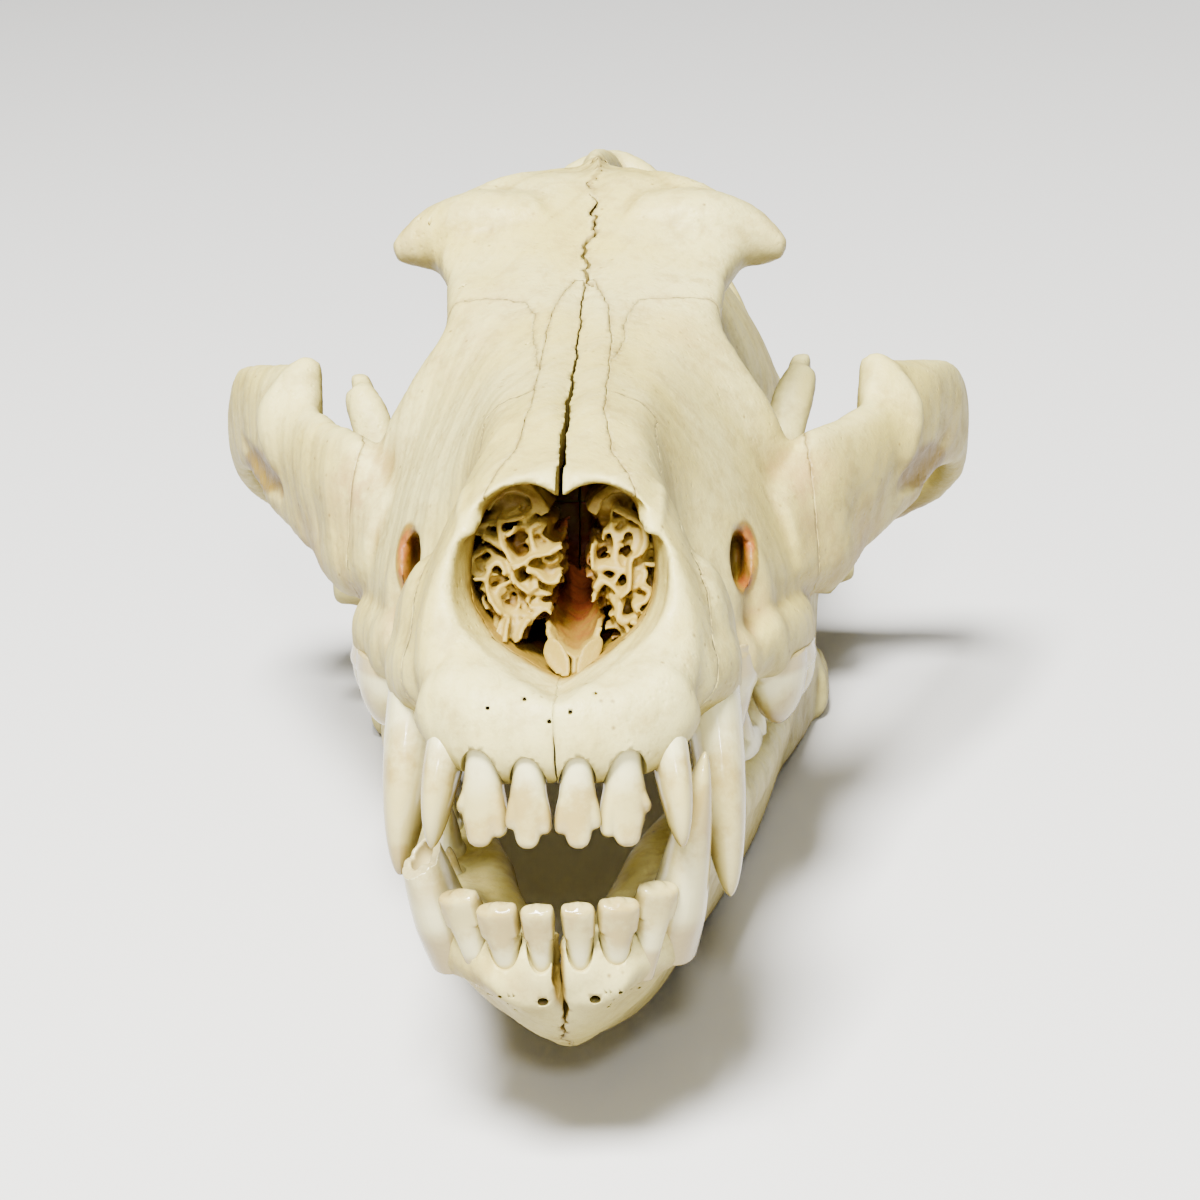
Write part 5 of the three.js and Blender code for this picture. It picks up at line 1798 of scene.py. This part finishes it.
@dataclass
class Scrolls:
    """The branching leaves of bone that fill the nose, and the trough of the vomer on its floor."""

    wall: float = 0.6
    depth: float = 24.0
    # x and z along each leaf, as seen from the front, on the animal's left and right
    left: Sequence[Rows] = (
        ((4.5, 26.5), (4.2, 25), (4.5, 22.7)),
        ((7, 29.2), (7.7, 27), (7.8, 24.6), (7.7, 22.5)),
        ((11.6, 28.2), (11.7, 26.8), (10.9, 25), (9.9, 24), (9.7, 22.3), (9.5, 20.3), (8.3, 19.3)),
        ((4.7, 22.7), (6.3, 23), (8.1, 22.5), (9.7, 22.3)),
        ((4.8, 20.3), (5.7, 21.4), (7.5, 20.3), (8.3, 19.3)),
        ((7.4, 30.9), (9.6, 29.9), (11.4, 28.8), (11.6, 27.6)),
        ((10.1, 25.5), (10.5, 27.4), (9.2, 28.7)),
        ((11.6, 25.7), (12.6, 26.4), (13.9, 26.5)),
        ((11.5, 23.3), (12.6, 23.2), (13.6, 23.4), (13.7, 21.2), (13.4, 18.6), (12.9, 17.3)),
        ((11.5, 23.1), (11.8, 21.8), (10.9, 20.5), (9.7, 20.1)),
        ((10.9, 20.5), (12.1, 19.9), (11.7, 18.8), (10.3, 18.4), (10.6, 17.1)),
        ((8.3, 19.3), (8.5, 18), (8.3, 15.8), (9.7, 16), (11.5, 17.3), (12.9, 17.3)),
        ((8.3, 15.8), (9.3, 14.9), (9.7, 13.5)),
        ((9.7, 15.9), (10.8, 14.7), (10.5, 13.7)),
        ((7.1, 19.3), (7.7, 18.2), (8.1, 16.4)),
        ((13.4, 18.6), (14.6, 18.4)),
    )
    right: Sequence[Rows] = (
        ((-8, 30), (-8, 27.5), (-7.3, 25.6), (-5.8, 23.4), (-5.6, 21.7), (-4.6, 20.2), (-3.6, 19.3)),
        ((-10.2, 27.4), (-8.9, 26.6), (-7.5, 25.4)),
        ((-5.8, 23.4), (-4.5, 23.8), (-3.1, 24.7), (-1.5, 25), (0.1, 25.8)),
        ((-3.1, 25), (-3.6, 27.3), (-3.5, 28.7), (-2.2, 29.3)),
        ((-7.9, 29.4), (-6, 29.9), (-4.2, 30.3)),
        ((-5.6, 28.8), (-5.8, 27.9), (-7.1, 27.2)),
        ((-5.6, 21.6), (-7.4, 20.6), (-8.2, 19.6), (-7.7, 18), (-6.9, 16.8), (-5.3, 16.8), (-3.7, 16.4), (-3.6, 15.3)),
        ((-9.6, 23.4), (-8, 24), (-7, 22.8), (-7.3, 22.3)),
        ((-9.1, 23.2), (-9.5, 21.5), (-9.2, 19.6), (-8.1, 17.6), (-6.9, 16.8)),
        ((-4.6, 20.2), (-3, 20), (-1.7, 19.3)),
        ((-4.1, 23.2), (-2.9, 22.5), (-1.1, 21.3), (0.1, 22.4)),
        ((-3.1, 22.5), (-3, 20.2)),
        ((-6.9, 16.6), (-7.7, 15.3), (-7.9, 14)),
        ((-6.1, 16.6), (-6.4, 15.1), (-6.5, 13.1)),
        ((-5.1, 16.6), (-5.2, 14.8), (-5.2, 12.9)),
        ((-3.7, 16.2), (-4.5, 15.1), (-4.8, 13.8)),
        ((-9.5, 21.5), (-11, 21.4)),
    )
    # x and z along the vomer's trough, and round the two plates before it
    trough: Sequence[Rows] = (
        ((-2.0, 14.9), (-1.0, 13.2), (0.5, 11.8), (1.9, 11.2), (3.4, 11.8), (4.8, 13.2), (5.6, 15)),
    )
    plates: Sequence[Rows] = (
        ((-2.4, 11.6), (-2.1, 13.2), (-1.1, 13.9), (0.5, 12.7), (1.4, 10.8), (1.2, 8.9), (-0.2, 9.1), (-1.6, 10.1)),
        ((2.4, 10.8), (3.2, 12.7), (4.8, 13.8), (5.9, 13.5), (5.6, 11.6), (4.8, 10.1), (3.5, 9.1), (2.5, 8.9)),
    )

    def roof(self, clay: Clay, side: Side) -> None:
        """Adds the smooth scroll under the nasal bone of one side, and what stands behind it."""
        arch = ((3.4, 30.4), (5.4, 33.2), (8.6, 34), (11.6, 31.4))
        self.leaf(clay, [(1.0 + (x - 0.6) * side.value, z) for x, z in arch], 1.6, 16.0, 1.5)
        clay.ball((0.6 + 7 * side.value, 41.5, 31.4), (4.8, 7, 3.4))

    def leaf(self, clay: Clay, path: Rows, start: float, end: float, wall: float, rise: float = 0.12) -> None:
        """Adds a curved wall that stands on a path across the nose and is carried back through it.

        Args:
            clay: Where it is added.
            path: Points of x and z.
            start: How far behind the nose's opening it starts.
            end: Where it ends.
            wall: Its thickness.
            rise: How much it rises for each millimetre that it goes back.
        """
        line = smooth_curve(path, len(path) * 5)
        along = np.gradient(line, axis=0)
        along /= np.linalg.norm(along, axis=1, keepdims=True)
        aside = np.column_stack([-along[:, 1], along[:, 0]]) * wall / 2
        loop = np.vstack([line + aside, (line - aside)[::-1]])
        rings = []
        for depth in np.linspace(start, end, round((end - start) / 1.5) + 2):
            swing = 1 - 0.004 * (depth - start)
            x = (loop[:, 0] - 1.5) * swing + 1.5
            z = (loop[:, 1] - 20) * swing + 20 + rise * (depth - start)
            rings.append(np.column_stack([x, NOSE_LEAN * z + NOSE_FRONT + depth, z]))
        shape = np.stack(rings)
        clay.skin(shape + wander(shape.reshape(-1, 3), 0.45).reshape(shape.shape))

    def fins(self, clay: Clay) -> None:
        """Adds the two small plates that stand in front of the trough, and the stem that carries it."""
        for outline in self.plates:
            flat = smooth_curve(outline, 60, closed=True)
            x, z = flat.T
            clay.skin([
                np.column_stack([x, NOSE_LEAN * z + 13.2 + depth + 0.12 * (x - 1.8) ** 2, z])
                for depth in (-0.5, 0.0, 0.5)
            ])
        self.leaf(clay, ((1.8, 11.4), (1.8, 7.6)), 1.0, 40.0, 1.2, 0.16)

    def sponge(self, clay: Clay, left: bool) -> None:
        """Fills one side behind its leaves with smaller ones and with the wall that they grow from.

        Args:
            clay: Where they are added.
            left: Whether it is the left side.
        """
        random = np.random.default_rng(11 if left else 12)
        middle, half = ((9.2, 22.6), (4.9, 8.6)) if left else ((-6.2, 22.4), (5.3, 8.8))
        for _ in range(130):
            angle, far = random.uniform(0, 2 * math.pi), math.sqrt(random.uniform(0, 1))
            start = np.array(middle) + far * np.array(half) * (math.cos(angle), math.sin(angle))
            turn = random.uniform(0, math.pi)
            step = random.uniform(0.9, 1.9) * np.array((math.cos(turn), math.sin(turn)))
            bend = random.uniform(-0.7, 0.7) * np.array((-step[1], step[0]))
            depth = random.uniform(1.2, 7.0)
            self.leaf(clay, (start - step, start + bend, start + step), depth, 14.0, 0.5)
        for z in (16.5, 21.5, 26.5):
            aside = middle[0] + math.copysign(0.3, middle[0])
            clay.ball((aside, NOSE_LEAN * z + NOSE_FRONT + 17, z + 1.8), (5.0, 6.4, 4.8))

    def build(self, wardrobe: Wardrobe) -> None:
        """Builds the scrolls and hands them over.

        Args:
            wardrobe: The finishes.
        """
        parts = (
            ("turbinate_left", self.left, 0.6, self.depth, self.wall, 0.28),
            ("turbinate_right", self.right, 0.6, self.depth, self.wall, 0.28),
            ("vomer", self.trough, 1.2, 34.0, 0.8, 0.3),
        )
        for name, paths, start, end, wall, voxel in parts:
            clay = Clay()
            for number, path in enumerate(paths):
                rise = 0.2 if paths is self.trough else 0.12
                self.leaf(clay, path, start + 0.9 * math.sin(number * 2.3), end, wall, rise)
            if paths is not self.trough:
                self.sponge(clay, paths is self.left)
                self.roof(clay, Side.LEFT if paths is self.left else Side.RIGHT)
            else:
                self.fins(clay)
            piece = clay.fused(f"{name}_leaves", voxel, 2)
            points = places(piece)
            if paths is self.right:
                points[:, 0] = (points[:, 0] + 4.6) * 1.12 - 5.4
                put(piece, points)
            # Painted shade, stored as amber shade: the deeper behind the nose's opening, and on the upper leaves.
            depth = points[:, 1] - NOSE_FRONT - NOSE_LEAN * points[:, 2]
            high = 0.3 * fade(points[:, 2], 27, 33)
            record(piece, "amber", np.maximum(fade(depth, 0.6, 7) * 0.6, high) + fade(depth, 8, 22) * 0.4)
            record(piece, "hollow", hollowness(piece, 10))
            hand_over(piece, Frame.HEAD, wardrobe.scroll, [name])


# The lower jaw


@dataclass
class Jaw:
    """The lower jaw, modelled with the mouth shut, in two halves that meet in the chin."""

    # the size of the facets of its skin
    skin: float = 0.7
    # y, upper and lower edge, the middle's x at each, half the thickness
    sections: Rows = (
        (6.5, -18.5, -23, 6, 4, 5),
        (12, -15.5, -28.5, 9, 0.5, 7),
        (19, -13.5, -32.2, 12.5, 0, 7.6),
        (27, -13, -34.4, 14, 0.6, 7.8),
        (38, -12.5, -36.6, 15, 4, 7.2),
        (50, -11.5, -37.5, 17, 8, 6),
        (66, -10.5, -37.6, 20, 11, 6),
        (84, -10, -37.6, 23, 14.5, 6.2),
        (100, -9, -36.8, 26, 18, 6.2),
        (118, -8, -34.5, 30, 22.5, 5.4),
        (134, -6, -31, 33.5, 26, 4.4),
        (148, -6, -27.5, 35.5, 30.5, 3.2),
        (164, -8, -23.5, 38, 36.5, 2.4),
        (180, -9, -21.5, 39.6, 39.6, 2.4),
    )
    # y and z round the ramus in profile
    ramus: Rows = (
        (130, -12), (137, -4), (144, 5), (150, 18), (156, 32), (162, 42), (168, 46.5), (174, 45.5), (178, 40),
        (179.5, 31), (177.5, 21), (177.5, 13), (182, 9), (184, 3), (182, -4), (180, -9), (180, -18), (160, -20),
        (140, -24), (131, -24),
    )
    strokes: Sequence[Stroke] = (
        Stroke(((6, 12, -25), (9, 14, -25)), 4, -0.5),
        Stroke(((0, 25, -35),), 3, 1.0),
        Stroke(((15, 19, -20), (13, 22, -27)), 4.5, 0.7),
        Stroke(((24, 60, -20), (27, 90, -20)), 7, 0.4),
    )

    def body(self, clay: Clay) -> None:
        """Adds the body of the left half."""
        stations = np.linspace(6.5, 180, 120)
        down, out = circle(64, 0.8)
        share = (1 - down) / 2
        rings = []
        for y, (top, bottom, top_x, bottom_x, thick) in zip(stations, read_table(self.sections, stations)):
            half = thick * (1 - 0.3 * share)
            x = top_x + (bottom_x - top_x) * share + out * half
            rings.append(np.column_stack([x, np.full(64, y), top + (bottom - top) * share]))
        clay.skin(rings)

    def blade(self, clay: Clay) -> None:
        """Adds the ramus, which leans outwards as it rises and as it goes back."""
        flat = Clay()
        flat.slab(smooth_curve(self.ramus, 120, closed=True), -1.9, 1.9, Plane.PROFILE)
        piece = flat.fused("ramus", 0.8, 6)
        x, y, z = places(piece).T
        lean = 34.6 + (y - 140) * 0.12 + z * 0.055
        lean -= 6 * np.clip((152 - y) / 20, 0, 1) * np.clip((-z - 4) / 24, 0, 1)
        lean -= 3.6 * np.exp(-(((z - 31) / 12) ** 2))
        put(piece, np.column_stack([x + lean, y, z]))
        clay.take(piece)

    def half(self, side: Side) -> Piece:
        """One half of the jaw, without its teeth."""
        clay = Clay(side.flip)
        self.body(clay)
        self.blade(clay)
        clay.bar([
            (0, 10.2, -18.4, 4.6, 4.8), (4, 10.6, -18.2, 4.6, 4.8), (9.4, 13.5, -17.2, 4.6, 5),
            (14.4, 20.5, -15.2, 4.8, 5.2), (15.4, 32, -15.4, 4.4, 4.2), (17.4, 48, -14.5, 4, 4),
            (21.8, 77, -13.6, 4.8, 4.2), (25.4, 98, -13, 5.4, 4.6), (31.6, 126, -9.5, 4, 4.2),
        ])
        clay.bar([
            (8, 22, -20, 6, 6), (11, 34, -17.5, 5, 6), (12.6, 48, -16.6, 4.4, 6), (16, 64, -16, 4, 5.6),
            (21, 84, -16, 4, 5),
        ])
        clay.bar([
            (33, 133, -8, 4, 3.4), (33.8, 145, 6, 3.4, 2.8), (34.2, 154, 24, 3.3, 2.8), (36, 159.5, 33, 3.6, 3),
            (38.2, 163, 40, 3.7, 3.1), (40.2, 166, 44.2, 2.7, 2.5),
        ], (0, 1, 0))
        clay.bar([(x, y, z, a - 0.4, b - 0.4) for x, y, z, a, b in JAW_CONDYLE], square=1)
        clay.bar([
            (39.4, 172, -16, 3, 5.5), (40, 182, -16.6, 2.9, 4.6), (40.4, 189, -15, 2.4, 2.8),
            (40.4, 193, -12.5, 1.4, 1.4),
        ])
        piece = clay.fused(f"mandible_{side.word}_bone", self.skin, 7)
        holes = Clay(side.flip)
        holes.ball((43.6, 162, 9), (4.8, 12, 24), (-13, -3, -7))
        combine(piece, holes.fused("fossa", 0.8, 2), "DIFFERENCE")
        refine(piece, self.skin, 3)
        sculpt(piece, self.strokes)
        roughen(piece, 0.14)
        return piece

    def spread(self, y: np.ndarray, z: np.ndarray) -> np.ndarray:
        """How far the halves keep off the midline: least below, and jagged in the chin."""
        jagged = (0.2 + 0.16 * np.sin(z * 1.9 + y)) * fade(z, -34, -24) * fade(y, 26, 10)
        return 0.14 + jagged + 0.35 * fade(z, -24, -15)

    def pores(self, side: Side) -> Piece:
        """The small holes that vessels leave the bone by, as one cutting tool."""
        clay = Clay(side.flip)
        clay.ball((3.6 + 1.2 * side.value, 9, -22.4), (0.85, 5.5, 0.75))
        clay.ball((19.4, 46, -25.5), (3, 1.9, 1.2))
        clay.ball((18.4, 33, -24), (3, 1.2, 0.9))
        random = np.random.default_rng(7)
        for x, y, z in random.uniform((5, 8, -24.5), (14, 14, -21), (16, 3)):
            clay.ball((x, y, z), (0.32, 3.5, 0.3), sides=10)
        return clay.to_piece("pores")

    def build(self, wardrobe: Wardrobe, teeth: ToothRow) -> None:
        """Builds both halves and hands them over.

        Args:
            wardrobe: The finishes.
            teeth: The lower teeth, whose sockets are cut.
        """
        for side in Side:
            piece = self.half(side)
            combine(piece, half_space(side, self.spread, ((-5, -45), (60, 5)), 0.9), "DIFFERENCE")
            combine(piece, teeth.sockets(), "DIFFERENCE")
            combine(piece, self.pores(side), "DIFFERENCE")
            keep_largest(piece)
            points, normals = places(piece), places(piece, "normal")
            record(piece, "hollow", hollowness(piece))
            record(piece, "seam", 0.9 * (np.abs(points[:, 0]) < 1.6) * fade(-normals[:, 0] * side.value, 0.2, 0.7))
            # Painted amber shade on the inner walls of the crack between the halves.
            walls = fade(-normals[:, 0] * side.value, 0.4, 0.8) * (np.abs(points[:, 0]) < 2.2)
            record(piece, "amber", walls * 0.36)
            record(piece, "pink_stain_and_shade", 0.35 * np.exp(-((points[:, 2] + 20) / 3) ** 2) * (points[:, 1] < 20))
            hand_over(piece, Frame.JAW, wardrobe.bone, [f"mandible_{side.word}"])


# The studio


@dataclass
class Studio:
    """The floor, the lights and the camera."""

    eye: Point = (0.024956, -0.553678, 0.246023)
    right: Point = (0.99818, 0.02339, -0.05559)
    up: Point = (0.04377, 0.35310, 0.93456)
    ahead: Point = (-0.04148, 0.93529, -0.35143)
    lens: float = 103.29
    sensor: float = 36.0
    aim: Point = (0, 0, 0.05)
    ambient: float = 0.16

    def floor(self) -> None:
        """Lays the floor."""
        mesh = bmesh.new()
        bmesh.ops.create_grid(mesh, x_segments=2, y_segments=2, size=6)
        data = bpy.data.meshes.new("floor")
        mesh.to_mesh(data)
        mesh.free()
        piece = placed("floor", data)
        piece.data.materials.append(FloorFinish().build())
        piece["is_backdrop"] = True

    def lamp(self, name: str, at: Point, size: float, power: float, colour: Point = (1, 1, 1)) -> None:
        """Hangs a soft square light that faces the skull.

        Args:
            name: Its name.
            at: Where it hangs.
            size: Its width.
            power: Its power in watts.
            colour: Its colour.
        """
        light = bpy.data.lights.new(name, "AREA")
        light.size, light.energy, light.color = size, power, colour
        holder = placed(name, light)
        holder.location = at
        holder.rotation_euler = (Vector(self.aim) - Vector(at)).to_track_quat("-Z", "Y").to_euler()

    def build(self) -> None:
        """Sets everything up."""
        self.floor()
        world = bpy.data.worlds.new("studio")
        bpy.context.scene.world = world
        world.use_nodes = True
        background = world.node_tree.nodes["Background"]
        background.inputs["Color"].default_value = (1.0, 1.0, 1.0, 1.0)
        background.inputs["Strength"].default_value = self.ambient
        self.lamp("key", (-0.16, -0.6, 1.3), 0.45, 84.0, (1.0, 0.985, 0.955))
        self.lamp("front", (0.1, -1.35, 0.95), 0.14, 9.0, (1.0, 0.99, 0.97))
        camera = placed("camera", bpy.data.cameras.new("camera"))
        turn = Matrix((self.right, self.up, [-a for a in self.ahead])).transposed().to_4x4()
        camera.matrix_world = Matrix.Translation(Vector(self.eye)) @ turn
        camera.data.lens = self.lens
        camera.data.sensor_width = self.sensor
        camera.data.clip_start = 0.01
        bpy.context.scene.camera = camera


def as_lists(value: object) -> object:
    """A box of vectors as plain lists."""
    if isinstance(value, dict):
        return {key: as_lists(part) for key, part in value.items()}
    if isinstance(value, (int, float, str)) or value is None:
        return value
    return [as_lists(part) for part in value]


def main() -> None:
    """Builds the whole scene."""
    logging.basicConfig(level=logging.INFO, format="%(name)s: %(message)s")
    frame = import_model()
    sizes = {"solids": as_lists(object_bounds())}
    wardrobe = Wardrobe.open()
    uppers = ToothRow(UPPER_TEETH, -1, Frame.HEAD, -0.35, worn={"upper_canine_right": 0.9})
    lowers = ToothRow(LOWER_TEETH, 1, Frame.JAW, 0.35, broken={"lower_canine_right": 0.42})
    Head().build(wardrobe, uppers)
    uppers.build(wardrobe)
    Scrolls().build(wardrobe)
    Jaw().build(wardrobe, lowers)
    lowers.build(wardrobe)
    Studio().build()
    sizes["dressed"] = as_lists(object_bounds())
    log.info("done with %d solids", len(frame))


if __name__ == "__main__":
    main()
